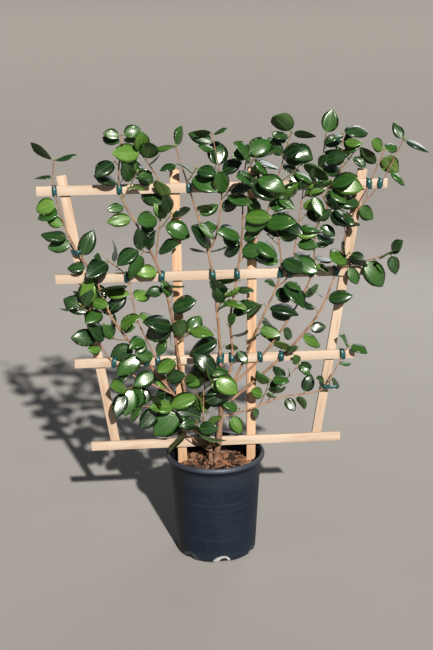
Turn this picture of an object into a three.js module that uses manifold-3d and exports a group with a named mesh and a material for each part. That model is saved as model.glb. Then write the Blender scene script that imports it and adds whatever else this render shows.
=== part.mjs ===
// Camellia shrub trained as a flat fan on a wooden trellis, in a round nursery pot.
// Millimetres, +Z up. The origin is the middle of the pot's flat underside. The trellis runs along
// X, and the stems of the plant lie on the -Y side of its rails, where they are tied.
import * as THREE from 'three';
import { mergeVertices } from 'three/addons/utils/BufferGeometryUtils.js';
import Module from 'manifold-3d';

const wasm = await Module();
wasm.setup();

const gap = 0.3; // between pieces that touch

const pot = {
  height: 301,
  rimRadius: 142,
  rimDepth: 15,
  rimWidth: 10,
  neckRadius: 130,
  baseRadius: 115,
  wall: 2.4,
  floor: 4,
  footBevel: 7,
  sides: 32,
};

// Arched drain openings round the foot of the pot
const drain = { count: 7, turn: 6, width: 36, height: 16, depth: 16, arcSteps: 3 };

const soil = { edgeHeight: 256, middleHeight: 264, flatRadius: 32, sides: 24 };

const lath = { width: 26, thickness: 9 };

// Rails from the lowest up, and the uprights behind them, which spread towards the top
const trellis = {
  front: 7,
  middle: 6,
  railHeights: [324.5, 574.5, 817.5, 1059.5],
  railHalfLengths: [360, 396, 436, 474],
  inner: { foot: 100, head: 105, bottom: 205, top: 1110 },
  outer: { foot: 290, head: 401, bottom: 312, top: 1099 },
};

// Where each stem leaves its parent, its x at each level above that, its tip and its radii.
// The levels are the rails and the heights halfway between them. A stem with no seed stays bare,
// and a bough is bare up to the height `bareTo`. The spacing of leaves goes from the first value
// at the foot of the stem to the second at its tip.
const ground = soil.middleHeight + gap;
const stems = {
  trunk: { start: [3, 4, ground], x: [9, 20], tip: [21, 462], radii: [9.2, 7.2] },
  leaning_stem: { start: [-13, 1, ground], x: [-19], tip: [-60, 390], radii: [6.4, 5.2] },
  left_tall: {
    from: 'leaning_stem', at: 388, x: [-77, -99, -115, -141, -192, -247], tip: [-236, 1202],
    radii: [4.8, 1.6], bareTo: 505, seed: 39, spacing: [70, 49],
  },
  left_top: {
    from: 'left_tall', at: 859, x: [-147, -133], tip: [-187, 1156], radii: [2.2, 1.4],
    seed: 37, spacing: [60, 34],
  },
  far_left: {
    from: 'leaning_stem', at: 387, x: [-97, -188, -275, -322, -386, -419], tip: [-417, 1143],
    radii: [4.4, 1.5], bareTo: 535, seed: 17, spacing: [60, 70],
  },
  left_low: {
    from: 'far_left', at: 475, x: [-280, -334], tip: [-338, 770], radii: [2.8, 1.4],
    seed: 90, spacing: [68, 30],
  },
  left_inner: {
    from: 'far_left', at: 498, x: [-157, -210, -236], tip: [-283, 868], radii: [2.8, 1.3],
    seed: 116, spacing: [60, 68],
  },
  middle_left: {
    from: 'trunk', at: 461, x: [18, 11, -1, -26, -62], tip: [-95, 1170], radii: [4.9, 1.5],
    bareTo: 520, seed: 104, spacing: [81, 108],
  },
  middle_top: {
    from: 'middle_left', at: 880, x: [11, 26], tip: [1, 1203], radii: [2.3, 1.4],
    seed: 125, spacing: [60, 81],
  },
  middle_right: {
    from: 'trunk', at: 448, x: [51, 46, 67, 80, 84], tip: [93, 1150], radii: [4, 1.5],
    bareTo: 520, seed: 111, spacing: [81, 45],
  },
  right_top: {
    from: 'middle_right', at: 850, x: [128, 171], tip: [213, 1203], radii: [2.3, 1.4],
    seed: 102, spacing: [50, 27],
  },
  right_inner: {
    from: 'trunk', at: 440, x: [87, 138, 187, 176], tip: [172, 985], radii: [4, 1.4],
    bareTo: 545, seed: 32, spacing: [60, 50],
  },
  right_side: {
    from: 'right_inner', at: 775, x: [212, 233], tip: [246, 1050], radii: [2.2, 1.3],
    seed: 70, spacing: [60, 38],
  },
  right_tall: {
    from: 'right_inner', at: 500, x: [131, 216, 276, 284, 343], tip: [350, 1198],
    radii: [3.3, 1.5], bareTo: 592, seed: 31, spacing: [88, 27],
  },
  right_crown: {
    from: 'right_tall', at: 1000, x: [296], tip: [305, 1196], radii: [2, 1.4],
    seed: 65, spacing: [45, 49], tipSpread: 0.15,
  },
  far_right: {
    from: 'trunk', at: 425, x: [43, 190, 290, 342, 371, 429], tip: [466, 1150],
    radii: [4.2, 1.5], bareTo: 565, seed: 115, spacing: [108, 81],
  },
  far_right_top: {
    from: 'far_right', at: 982, x: [459], tip: [515, 1176], radii: [1.9, 1.3],
    seed: 59, spacing: [81, 68],
  },
  far_right_side: {
    from: 'far_right', at: 826, x: [], tip: [492, 867], radii: [1.9, 1.3],
    seed: 28, spacing: [60, 38],
  },
  low_right: {
    from: 'trunk', at: 405, by: [[110, 428], [197, 458], [301, 474], [340, 524], [367, 574.5]],
    x: [], tip: [382, 600], radii: [2.4, 1.4], seed: 121, spacing: [81, 68], size: 0.75,
  },
  low_left: {
    from: 'far_left', at: 418, by: [[-130, 440]], x: [], tip: [-205, 446], radii: [2.3, 1.4],
    seed: 43, spacing: [26, 26],
  },
  low_middle: {
    from: 'leaning_stem', at: 350, x: [-34], tip: [-26, 545], radii: [2.4, 1.4],
    seed: 61, spacing: [30, 54], forward: 26,
  },
  low_front: {
    from: 'trunk', at: 286, by: [[-38, 322]], x: [], tip: [-92, 376], radii: [1.8, 1.2],
    seed: 20, spacing: [30, 40], forward: 22,
  },
  low_right_top: {
    from: 'low_right', at: 440, x: [], tip: [240, 550], radii: [1.6, 1.1],
    seed: 29, spacing: [61, 54], size: 0.75,
  },
};

// How a stem lies in front of the rails, and how far it sways forward between them
const depthRule = { clear: 2, sway: 12, tipSway: 20, aboveStart: 12 };

// A leaf's size, and the shares of each direction that its aim and its upper face are mixed from
const leafRule = {
  stalk: 8,
  length: [52, 88],
  slimness: [0.56, 0.7],
  thickness: 1.6,
  lowest: 306,
  tries: 14,
  outwards: [0.5, 1],
  along: [0.1, 0.8],
  depth: [-0.65, 0.55],
  lift: [-0.5, 0.15],
  frontShare: 0.8,
  faceFront: [0.25, 1],
  faceUp: [0.3, 1],
  faceSide: [-0.4, 0.4],
  arch: [0.02, 0.14],
  fold: [0.05, 0.3],
  footSize: 1.08,
  topSize: 0.88,
  twigSize: 0.92,
  tipSize: 0.85,
  tipSpread: 0.7,
};

const twigRule = {
  chance: 0.22,
  length: [28, 78],
  radius: 1.3,
  tries: 6,
  outwards: [0.4, 1],
  along: [0.5, 1],
  depth: [-1, 0.7],
  rise: 0.16,
  leafShares: [0.62, 0.8, 1],
};

// Where the first leaf of a stem stands, how even their spacing is and how near the tip it stops
const rowRule = { forkFoot: 16, first: [4, 14], evenness: [0.7, 1.3], end: 4 };

// The room that leaves and twigs keep to what is there already
const room = {
  beadStep: 7,
  leafHalfDepth: 4.2,
  leafToBlock: 0.8,
  leafToBead: 1.2,
  leafOwnRoot: 13,
  stalkToBlock: 2,
  sameMass: 0.7,
  bladeHalfDepth: 5,
  twigToBlock: 2.2,
  twigToLeaf: 2.8,
  twigToBead: 4,
  twigOwnRoot: 9,
  twigOwnStem: 11,
};

// A tie is left to the looks where two shoots of one bough cross the top rail side by side
const tieRule = { thickness: 1, spare: 6, reach: 25, leftOut: ['right_crown', 'right_side'] };

// A repeatable row of numbers between low and high for a seed
function diceFor(seed) {
  const wheel = 2147483647;
  let state = (seed * 7919 + 12345) % wheel;
  const roll = () => {
    state = (state * 48271) % wheel;
    return state / wheel;
  };
  roll();
  roll();
  return (low = 0, high = 1) => low + (high - low) * roll();
}

const vector = (x, y, z) => new THREE.Vector3(x, y, z);
const rightwards = vector(1, 0, 0);
const backwards = vector(0, 1, 0);
const upwards = vector(0, 0, 1);
const blend = (...terms) => terms.reduce((sum, [v, k]) => sum.addScaledVector(v, k), vector(0, 0, 0));
const mix = (a, b, t) => a + (b - a) * t;

const rails = trellis.railHeights;
const levels = rails.flatMap((z, i) => (i ? [(rails[i - 1] + z) / 2, z] : [z]));

// Points along a smooth curve through the given ones, with the distance to each from the first
function lineThrough(knots, steps) {
  const curve = new THREE.CatmullRomCurve3(knots, false, 'catmullrom', 0.5);
  const points = curve.getPoints((knots.length - 1) * steps);
  const lengths = [0];
  for (let i = 1; i < points.length; i += 1) {
    lengths.push(lengths[i - 1] + points[i].distanceTo(points[i - 1]));
  }
  return { points, lengths, total: lengths.at(-1) };
}

function spotAlong(line, distance) {
  const last = line.points.length - 2;
  let i = 0;
  while (i < last && line.lengths[i + 1] < distance) i += 1;
  const [a, b] = [line.points[i], line.points[i + 1]];
  const span = line.lengths[i + 1] - line.lengths[i];
  return {
    place: a.clone().lerp(b, (distance - line.lengths[i]) / span),
    heading: b.clone().sub(a).normalize(),
  };
}

function distanceAtHeight(line, z) {
  const i = line.points.findIndex((point) => point.z >= z);
  if (i <= 0) return i ? line.total : 0;
  const [a, b] = [line.points[i - 1], line.points[i]];
  return mix(line.lengths[i - 1], line.lengths[i], (z - a.z) / (b.z - a.z));
}

const radiusAt = (stem, distance) => mix(...stem.radii, Math.min(distance / stem.line.total, 1));

// The centre line of a stem: clear of the rails where it crosses them, swaying forward between
function routeStem(stem, order) {
  const dice = diceFor(order);
  const parent = stems[stem.from];
  const start = parent
    ? spotAlong(parent.line, distanceAtHeight(parent.line, stem.at)).place
    : vector(...stem.start);
  const restY = (radius) => trellis.front - radius - depthRule.clear;
  const above = levels.filter((z) => z > start.z + depthRule.aboveStart);
  const stops = [...(stem.by ?? []), ...stem.x.map((x, i) => [x, above[i]])];
  const forward = stem.forward ?? 0;
  const knots = [start];
  stops.forEach(([x, z], i) => {
    const radius = mix(...stem.radii, (i + 1) / (stops.length + 1));
    const sway = rails.includes(z) ? 0 : dice(0, depthRule.sway) + forward;
    knots.push(vector(x, restY(radius) - sway, z));
  });
  const tipY = restY(stem.radii[1]) - dice(0, depthRule.tipSway) - forward;
  knots.push(vector(stem.tip[0], tipY, stem.tip[1]));
  stem.line = lineThrough(knots, 3);
}

Object.entries(stems).forEach(([name, stem], i) => {
  stem.name = name;
  routeStem(stem, i + 1);
});

// Whether two turned boxes, each a centre, three axes and half sizes, come nearer than the margin
function boxesMeet(a, b, scale = 1, margin = 0) {
  const apart = b.centre.clone().sub(a.centre);
  const crossed = a.axes.flatMap((u) => b.axes.map((v) => u.clone().cross(v)));
  return [...a.axes, ...b.axes, ...crossed].every((axis) => {
    const size = axis.length();
    if (size < 1e-6) return true;
    const reach = (box) => box.axes.reduce((sum, u, i) => sum + Math.abs(u.dot(axis)) * box.halves[i], 0);
    return Math.abs(apart.dot(axis)) < scale * (reach(a) + reach(b)) + margin * size;
  });
}

function nearBox(point, box, distance) {
  const away = point.clone().sub(box.centre);
  return box.axes.every((axis, i) => Math.abs(away.dot(axis)) < box.halves[i] + distance);
}

// The uprights as placed: middle, lean from the vertical and length
function uprightAt(kind, side) {
  const { foot, head, bottom, top } = trellis[kind];
  const run = rails.at(-1) - rails[0];
  const lean = Math.atan((side * (head - foot)) / run);
  const middleHeight = (bottom + top) / 2;
  const x = trellis.middle + side * (foot + ((head - foot) * (middleHeight - rails[0])) / run);
  const y = trellis.front + lath.thickness * 1.5 + gap;
  return { place: vector(x, y, middleHeight), lean, length: (top - bottom) / Math.cos(lean) };
}

const uprights = {
  upright_outer_left: uprightAt('outer', -1),
  upright_inner_left: uprightAt('inner', -1),
  upright_inner_right: uprightAt('inner', 1),
  upright_outer_right: uprightAt('outer', 1),
};

const railY = trellis.front + lath.thickness / 2;
const flatAxes = [rightwards, backwards, upwards];
const wood = rails.map((z, i) => ({
  centre: vector(trellis.middle, railY, z),
  axes: flatAxes,
  halves: [trellis.railHalfLengths[i], lath.thickness / 2, lath.width / 2],
}));
for (const { place, lean, length } of Object.values(uprights)) {
  const across = vector(Math.cos(lean), 0, -Math.sin(lean));
  const along = vector(Math.sin(lean), 0, Math.cos(lean));
  wood.push({
    centre: place,
    axes: [across, backwards, along],
    halves: [lath.width / 2, lath.thickness / 2, length / 2],
  });
}

// A tie wherever a stem crosses one of the upper three rails and no upright is in its way
const ties = [];
for (const stem of Object.values(stems)) {
  rails.slice(1).forEach((z, i) => {
    const distance = distanceAtHeight(stem.line, z);
    if (stem.line.points[0].z > z || distance >= stem.line.total) return;
    const { place } = spotAlong(stem.line, distance);
    const radius = radiusAt(stem, distance);
    const width = 2 * radius + tieRule.spare;
    const blocked = Object.values(uprights).some((upright) => {
      const x = upright.place.x + (z - upright.place.z) * Math.tan(upright.lean);
      return Math.abs(x - place.x) < (lath.width + width + tieRule.thickness) / 2;
    });
    if (blocked) return;
    const front = place.y - radius - 2 * gap;
    const back = trellis.front + lath.thickness + gap;
    const halfHeight = lath.width / 2 + gap;
    const box = {
      centre: vector(place.x, (front + back) / 2, z),
      axes: flatAxes,
      halves: [width / 2, (back - front) / 2 + tieRule.thickness, halfHeight + tieRule.thickness],
    };
    ties.push({ stem, rail: i + 2, front, back, width, halfHeight, x: place.x, z, box });
  });
}

// Everything that a new leaf or twig keeps clear of
const blocks = [...wood, ...ties.map((tie) => tie.box)];
const beads = [];
const leaves = [];

function addBeads(line, radius) {
  for (let s = 0; s <= line.total; s += room.beadStep) {
    beads.push({ place: spotAlong(line, s).place, radius: radius(s) });
  }
}

for (const stem of Object.values(stems)) addBeads(stem.line, (s) => radiusAt(stem, s));

// Half the width of a leaf, as a share of its widest, at a share of its length
const outline = (share) => Math.sin(Math.PI * share ** 0.88) ** 0.72;

function touchesLeaf(point, distance, leaf) {
  const away = point.clone().sub(leaf.base);
  const share = away.dot(leaf.aim) / leaf.length;
  if (share < -0.05 || share > 1.05) return false;
  const half = (leaf.width / 2) * outline(Math.min(Math.max(share, 0.01), 0.99));
  return Math.abs(away.dot(leaf.across)) < half + distance
    && Math.abs(away.dot(leaf.face)) < room.bladeHalfDepth + distance;
}

function leafFits(leaf) {
  const { box } = leaf;
  const drop = Math.abs(leaf.aim.z) * box.halves[0] + Math.abs(leaf.across.z) * box.halves[1];
  if (box.centre.z - drop < leafRule.lowest) return false;
  const stalk = [0.35, 0.7, 1].map((share) => leaf.root.clone().lerp(leaf.base, share));
  if (blocks.some((block) => boxesMeet(box, block, 1, room.leafToBlock)
    || stalk.some((spot) => nearBox(spot, block, room.stalkToBlock)))) return false;
  if (leaves.some((other) => (other.mass === leaf.mass
    ? boxesMeet(box, other.box, room.sameMass)
    : boxesMeet(box, other.box, 1, room.leafToBlock)))) return false;
  return !beads.some((bead) => bead.place.distanceTo(leaf.root) > room.leafOwnRoot
    && touchesLeaf(bead.place, bead.radius + room.leafToBead, leaf));
}

// A leaf at a spot on a stem, aimed to one side of it and turned to the light, if there is room
function placeLeaf({ place: root, heading }, side, seed, size, mass, spread = 1) {
  const dice = diceFor(seed);
  const sideways = heading.clone().cross(backwards).normalize();
  for (let attempt = 0; attempt < leafRule.tries; attempt += 1) {
    const turn = attempt % 4 < 2 ? side : -side;
    const aim = blend(
      [sideways, turn * dice(...leafRule.outwards) * spread],
      [heading, dice(...leafRule.along)],
      [backwards, dice(...leafRule.depth) * spread],
      [upwards, dice(...leafRule.lift) * spread],
    ).normalize();
    const toLight = dice() < leafRule.frontShare ? -1 : 1;
    const face = blend(
      [backwards, toLight * dice(...leafRule.faceFront)],
      [upwards, dice(...leafRule.faceUp)],
      [rightwards, dice(...leafRule.faceSide)],
    );
    face.addScaledVector(aim, -face.dot(aim)).normalize();
    const across = aim.clone().cross(face);
    const length = dice(...leafRule.length) * size;
    const width = length * dice(...leafRule.slimness);
    const base = root.clone().addScaledVector(aim, leafRule.stalk);
    const arch = dice(...leafRule.arch);
    const fold = dice(...leafRule.fold);
    const box = {
      centre: base.clone().addScaledVector(aim, length / 2),
      axes: [aim, across, face],
      halves: [(length + 1) / 2, width / 2, room.leafHalfDepth],
    };
    const leaf = { root, base, aim, across, face, length, width, arch, fold, box, mass };
    if (leafFits(leaf)) {
      leaves.push(leaf);
      return;
    }
  }
}

// A side twig from a spot on a stem, or null where there is no room for one
function placeTwig({ place: root, heading }, side, seed) {
  const dice = diceFor(seed);
  const sideways = heading.clone().cross(backwards).normalize();
  for (let attempt = 0; attempt < twigRule.tries; attempt += 1) {
    const out = blend(
      [sideways, (attempt % 2 ? -side : side) * dice(...twigRule.outwards)],
      [heading, dice(...twigRule.along)],
      [backwards, dice(...twigRule.depth)],
    ).normalize();
    const reach = dice(...twigRule.length);
    const bend = blend([root, 1], [out, reach / 2], [upwards, (reach * twigRule.rise) / 8]);
    const tip = blend([root, 1], [out, reach], [upwards, reach * twigRule.rise]);
    const line = lineThrough([root.clone(), bend, tip], 2);
    const spots = [0.08, 0.16, 0.28, 0.4, 0.55, 0.7, 0.85, 1]
      .map((share) => spotAlong(line, line.total * share).place);
    const away = spots.filter((spot) => spot.distanceTo(root) >= room.twigOwnRoot);
    const others = beads.filter((bead) => bead.place.distanceTo(root) > room.twigOwnStem);
    const free = !spots.some((spot) => blocks.some((block) => nearBox(spot, block, room.twigToBlock)))
      && !away.some((spot) => leaves.some((leaf) => touchesLeaf(spot, room.twigToLeaf, leaf))
        || others.some((bead) => bead.place.distanceTo(spot) < bead.radius + room.twigToBead));
    if (free) {
      addBeads(line, () => twigRule.radius);
      return line;
    }
  }
  return null;
}

// Foliage belongs to the mass of its bough, and that of a fork to the mass of the stem it leaves
function massOf(stem) {
  const own = stem.bareTo || stem.by || !stems[stem.from].seed || stem.from === 'far_left';
  return own ? stem.name : massOf(stems[stem.from]);
}

// Leaves alternate along a stem up to its tip, and now and then a short twig carries three
function dressStem(stem) {
  const { line, seed, spacing, size = 1 } = stem;
  const dice = diceFor(seed + 100);
  const mass = massOf(stem);
  const bare = stem.bareTo ? distanceAtHeight(line, stem.bareTo) : rowRule.forkFoot;
  stem.twigs = [];
  let side = dice() < 0.5 ? -1 : 1;
  let count = 0;
  let s = bare + dice(...rowRule.first);
  while (s < line.total - rowRule.end) {
    const spot = spotAlong(line, s);
    const leafSeed = seed * 1000 + count * 10;
    const twig = dice() < twigRule.chance ? placeTwig(spot, side, leafSeed) : null;
    if (twig) {
      stem.twigs.push(twig);
      twigRule.leafShares.forEach((share, i) => {
        const from = spotAlong(twig, twig.total * share);
        placeLeaf(from, i % 2 ? side : -side, leafSeed + i + 1, leafRule.twigSize * size, mass);
      });
    } else {
      const grown = mix(leafRule.footSize, leafRule.topSize, s / line.total);
      placeLeaf(spot, side, leafSeed + 5, grown * size, mass);
    }
    side = -side;
    count += 1;
    s += mix(...spacing, s / line.total) * dice(...rowRule.evenness);
  }
  const end = spotAlong(line, line.total - 1);
  const { tipSpread = leafRule.tipSpread } = stem;
  placeLeaf(end, -side, seed * 1000 + 900, leafRule.tipSize * size, mass, tipSpread);
  placeLeaf(end, side, seed * 1000 + 901, leafRule.tipSize * size, mass);
}

for (const stem of Object.values(stems)) if (stem.seed) dressStem(stem);

// A closed skin over rings of points. A ring of one point is a tip, and a loop has no ends.
function skin(rings, loop = false) {
  const starts = [];
  let count = 0;
  for (const ring of rings) {
    starts.push(count);
    count += ring.length;
  }
  const index = [];
  for (let i = 0; i < rings.length - (loop ? 0 : 1); i += 1) {
    const j = (i + 1) % rings.length;
    for (let k = 0; k < Math.max(rings[i].length, rings[j].length); k += 1) {
      const [a, b] = [k, k + 1].map((n) => starts[i] + (n % rings[i].length));
      const [c, d] = [k, k + 1].map((n) => starts[j] + (n % rings[j].length));
      if (a !== b) index.push(a, b, d);
      if (c !== d) index.push(a, d, c);
    }
  }
  if (!loop) {
    const last = starts.at(-1);
    for (let k = 2; k < rings[0].length; k += 1) index.push(0, k, k - 1);
    for (let k = 2; k < rings.at(-1).length; k += 1) index.push(last, last + k - 1, last + k);
  }
  const geometry = new THREE.BufferGeometry().setFromPoints(rings.flat());
  geometry.setIndex(index);
  return geometry;
}

// A closed geometry as a solid, with its faces turned outwards
function solidOf(geometry) {
  const bare = geometry.clone();
  bare.deleteAttribute('normal');
  bare.deleteAttribute('uv');
  const merged = mergeVertices(bare, 1e-4);
  const points = merged.attributes.position.array;
  const corners = Uint32Array.from(merged.index.array);
  const pointAt = (corner) => vector(...points.subarray(3 * corner, 3 * corner + 3));
  let volume = 0;
  for (let i = 0; i < corners.length; i += 3) {
    const [a, b, c] = [0, 1, 2].map((k) => pointAt(corners[i + k]));
    volume += a.dot(b.cross(c));
  }
  if (volume < 0) corners.reverse();
  return new wasm.Manifold(new wasm.Mesh({ numProp: 3, vertProperties: points, triVerts: corners }));
}

function largestPiece(solid) {
  return solid.decompose().sort((a, b) => b.volume() - a.volume())[0];
}

function geometryOf(solid) {
  const mesh = solid.getMesh();
  const geometry = new THREE.BufferGeometry();
  geometry.setAttribute('position', new THREE.BufferAttribute(mesh.vertProperties, 3));
  geometry.setIndex(new THREE.BufferAttribute(mesh.triVerts, 1));
  geometry.computeVertexNormals();
  return geometry;
}

// A round limb along part of a line, its first ring level where it is cut flat
function limbSolid(line, from, to, radius, sides, level = false) {
  const shortest = 6;
  const stops = line.lengths.filter((s) => s > from + shortest && s < to - shortest);
  let across = rightwards.clone();
  const rings = [from, ...stops, to].map((s, i) => {
    const { place, heading } = spotAlong(line, s);
    const axis = level && i === 0 ? upwards : heading;
    across = across.addScaledVector(axis, -across.dot(axis)).normalize();
    const other = axis.clone().cross(across);
    return Array.from({ length: sides }, (_, k) => {
      const angle = (2 * Math.PI * k) / sides;
      const r = radius(s, angle);
      return blend([place, 1], [across, r * Math.cos(angle)], [other, r * Math.sin(angle)]);
    });
  });
  return solidOf(skin(rings));
}

// A leaf of three corners to a section: two edges and a keel under its midrib
const leafSections = { stalkHalf: 1.2, stalkKeel: 1.4, shares: [0.24, 0.62] };

function leafSolid(leaf) {
  const { root, base, aim, across, face, length } = leaf;
  const section = (middle, half, rise, keel) => [
    blend([middle, 1], [across, half], [face, rise]),
    blend([middle, 1], [across, -half], [face, rise]),
    blend([middle, 1], [face, -keel]),
  ];
  const middleAt = (share) => blend(
    [base, 1],
    [aim, share * length],
    [face, -leaf.arch * length * share * share],
  );
  const blade = leafSections.shares.map((share) => {
    const half = (leaf.width / 2) * outline(share);
    return section(middleAt(share), half, leaf.fold * half * share, leafRule.thickness);
  });
  const foot = section(root, leafSections.stalkHalf, 0, leafSections.stalkKeel);
  return solidOf(skin([foot, ...blade, [middleAt(1)]]));
}

const colours = {
  bark: [0x8a7460, 0.85],
  youngBark: [0x9c7a60, 0.75],
  rail: [0xe8cfa6, 0.7],
  upright: [0xd9b183, 0.7],
  tie: [0x0e4a48, 0.45],
  pot: [0x2a3138, 0.5],
  soil: [0x5a4030, 0.95],
  leaf: [0x1f5a26, 0.35],
};

function material(kind, shade = 1) {
  const [colour, roughness] = colours[kind];
  return new THREE.MeshStandardMaterial({
    color: new THREE.Color(colour).multiplyScalar(shade),
    roughness,
    metalness: 0,
  });
}

const camellia = new THREE.Group();

function addPiece(name, geometry, finish) {
  const mesh = new THREE.Mesh(geometry, finish);
  mesh.name = name;
  camellia.add(mesh);
  return mesh;
}

function lathed(profile, sides) {
  const points = profile.map(([r, z]) => new THREE.Vector2(r, z));
  return solidOf(new THREE.LatheGeometry(points, sides).rotateX(Math.PI / 2));
}

function drainSolid() {
  const { width, height, depth, arcSteps } = drain;
  const arch = new THREE.Shape();
  arch.moveTo(-width / 2, -1);
  arch.lineTo(width / 2, -1);
  arch.absellipse(0, 0, width / 2, height, 0, Math.PI);
  const opening = new THREE.ExtrudeGeometry(arch, { depth, bevelEnabled: false, curveSegments: arcSteps });
  const outside = 3; // it starts this far in front of the wall
  return solidOf(opening.rotateX(Math.PI / 2).translate(0, depth + outside - pot.baseRadius, 0));
}

function potGeometry() {
  const { height, rimRadius, rimDepth, rimWidth, neckRadius, baseRadius, wall, floor, footBevel } = pot;
  const under = height - rimDepth;
  const round = 4; // of the rim's upper edge
  let solid = lathed([
    [0, 0],
    [baseRadius - footBevel, 0],
    [baseRadius, footBevel],
    [neckRadius, under - 5],
    [rimRadius - 2, under],
    [rimRadius, under + 3],
    [rimRadius, height - round - 1],
    [rimRadius - round, height],
    [rimRadius - rimWidth + 1, height],
    [rimRadius - rimWidth, height - 2],
    [neckRadius - wall, under],
    [baseRadius - wall, footBevel + floor],
    [baseRadius - footBevel, floor],
    [0, floor],
  ], pot.sides);
  const opening = drainSolid();
  for (let i = 0; i < drain.count; i += 1) {
    solid = solid.subtract(opening.rotate([0, 0, drain.turn + (360 / drain.count) * i]));
  }
  return geometryOf(solid);
}

// The potting mix fills the pot, with a pocket for the foot of each inner upright
function soilGeometry() {
  const { baseRadius, neckRadius, height, rimDepth, wall, floor, footBevel } = pot;
  const foot = footBevel + floor;
  const neck = height - rimDepth;
  const insideAt = (z) => mix(baseRadius, neckRadius, (z - foot) / (neck - foot)) - wall - 2 * gap;
  let solid = lathed([
    [0, floor + gap],
    [baseRadius - footBevel - 2, floor + gap],
    [insideAt(foot + 1), foot + 1],
    [insideAt(soil.edgeHeight), soil.edgeHeight],
    [soil.flatRadius * 2, mix(soil.edgeHeight, soil.middleHeight, 0.75)],
    [soil.flatRadius, soil.middleHeight],
    [0, soil.middleHeight],
  ], soil.sides);
  for (const side of [-1, 1]) {
    const { place, lean, length } = uprightAt('inner', side);
    const sizes = [lath.width, lath.thickness, length].map((size) => size + 2 * gap);
    const pocket = new THREE.BoxGeometry(...sizes).rotateY(lean).translate(...place);
    solid = solid.subtract(solidOf(pocket));
  }
  return geometryOf(solid);
}

function addTrellis() {
  rails.forEach((z, i) => {
    const bar = new THREE.BoxGeometry(2 * trellis.railHalfLengths[i], lath.thickness, lath.width);
    addPiece(`rail_${i + 1}`, bar, material('rail')).position.set(trellis.middle, railY, z);
  });
  for (const [name, { place, lean, length }] of Object.entries(uprights)) {
    const bar = new THREE.BoxGeometry(lath.width, lath.thickness, length);
    const piece = addPiece(name, bar, material('upright'));
    piece.position.copy(place);
    piece.rotation.y = lean;
  }
}

// The trunk and the leaning stem spread into low root swellings where they meet the ground
const flare = { swell: 0.3, ridge: 0.12, ridges: 3, fade: 10 };

function limbRadius(stem) {
  if (stem.from) return (s) => radiusAt(stem, s);
  return (s, angle) => {
    const spread = flare.swell + flare.ridge * Math.cos(flare.ridges * angle);
    return radiusAt(stem, s) * (1 + spread * Math.exp(-s / flare.fade));
  };
}

// Each limb is cut clear of those made before it. The limbs come back a little grown, so that
// what is cut by them keeps its gap.
function addLimbs() {
  const grown = [];
  for (const stem of Object.values(stems)) {
    if (stem.from && !stem.bareTo) continue;
    const end = stem.bareTo ? distanceAtHeight(stem.line, stem.bareTo) : stem.line.total;
    const sides = stem.from ? 6 : 10;
    const radius = limbRadius(stem);
    const limb = (extra) => limbSolid(
      stem.line,
      0,
      end,
      (s, angle) => radius(s, angle) + extra,
      sides,
      !stem.from,
    );
    const solid = grown.reduce((left, other) => left.subtract(other), limb(0));
    const name = stem.from ? `bough_${stem.name}` : stem.name;
    addPiece(name, geometryOf(largestPiece(solid)), material(stem.from ? 'youngBark' : 'bark'));
    grown.push(limb(gap * 1.2));
  }
  return grown;
}

function addFoliage(limbs) {
  const masses = {};
  for (const stem of Object.values(stems)) {
    if (!stem.seed) continue;
    const { line } = stem;
    const pieces = masses[massOf(stem)] ??= [];
    const start = stem.bareTo ? distanceAtHeight(line, stem.bareTo) + gap : 0;
    pieces.push(limbSolid(line, start, line.total, (s) => radiusAt(stem, s), 4));
    for (const twig of stem.twigs) {
      pieces.push(limbSolid(twig, 0, twig.total, () => twigRule.radius, 3));
    }
  }
  for (const leaf of leaves) masses[leaf.mass].push(leafSolid(leaf));
  Object.entries(masses).forEach(([name, pieces], i) => {
    const whole = wasm.Manifold.union(pieces);
    const solid = limbs.reduce((left, limb) => left.subtract(limb), whole);
    const shade = 0.85 + 0.08 * (i % 5);
    addPiece(`foliage_${name}`, geometryOf(largestPiece(solid)), material('leaf', shade));
  });
}

// A band round the rail and the stem, with a way through it for the stem
function tieGeometry({ stem, front, back, width, halfHeight, x, z }) {
  const corners = [[front, halfHeight], [front, -halfHeight], [back, -halfHeight], [back, halfHeight]];
  const rings = corners.map(([y, height]) => {
    const outY = y + Math.sign(y - (front + back) / 2) * tieRule.thickness;
    const outHeight = height + Math.sign(height) * tieRule.thickness;
    const corner = (side, depth, rise) => vector(x + (side * width) / 2, depth, z + rise);
    return [
      corner(-1, y, height),
      corner(1, y, height),
      corner(1, outY, outHeight),
      corner(-1, outY, outHeight),
    ];
  });
  const { line } = stem;
  const middle = distanceAtHeight(line, z);
  const top = Math.min(middle + tieRule.reach, line.total);
  const passage = limbSolid(line, middle - tieRule.reach, top, (s) => radiusAt(stem, s) + gap * 1.5, 4);
  return geometryOf(largestPiece(solidOf(skin(rings, true)).subtract(passage)));
}

addPiece('pot', potGeometry(), material('pot'));
addPiece('potting_mix', soilGeometry(), material('soil'));
addTrellis();
addFoliage(addLimbs());
for (const tie of ties) {
  if (tie.rail === rails.length && tieRule.leftOut.includes(tie.stem.name)) continue;
  addPiece(`tie_${tie.stem.name}_${tie.rail}`, tieGeometry(tie), material('tie'));
}

export default camellia;
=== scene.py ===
# Camellia shrub trained as a flat fan on a wooden trellis, in a round nursery pot.
# The plant is worked out in millimetres by the part's own rule, and made in metres.
import math

import bmesh
import bpy
import numpy as np
from mathutils import Matrix, Vector


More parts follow.
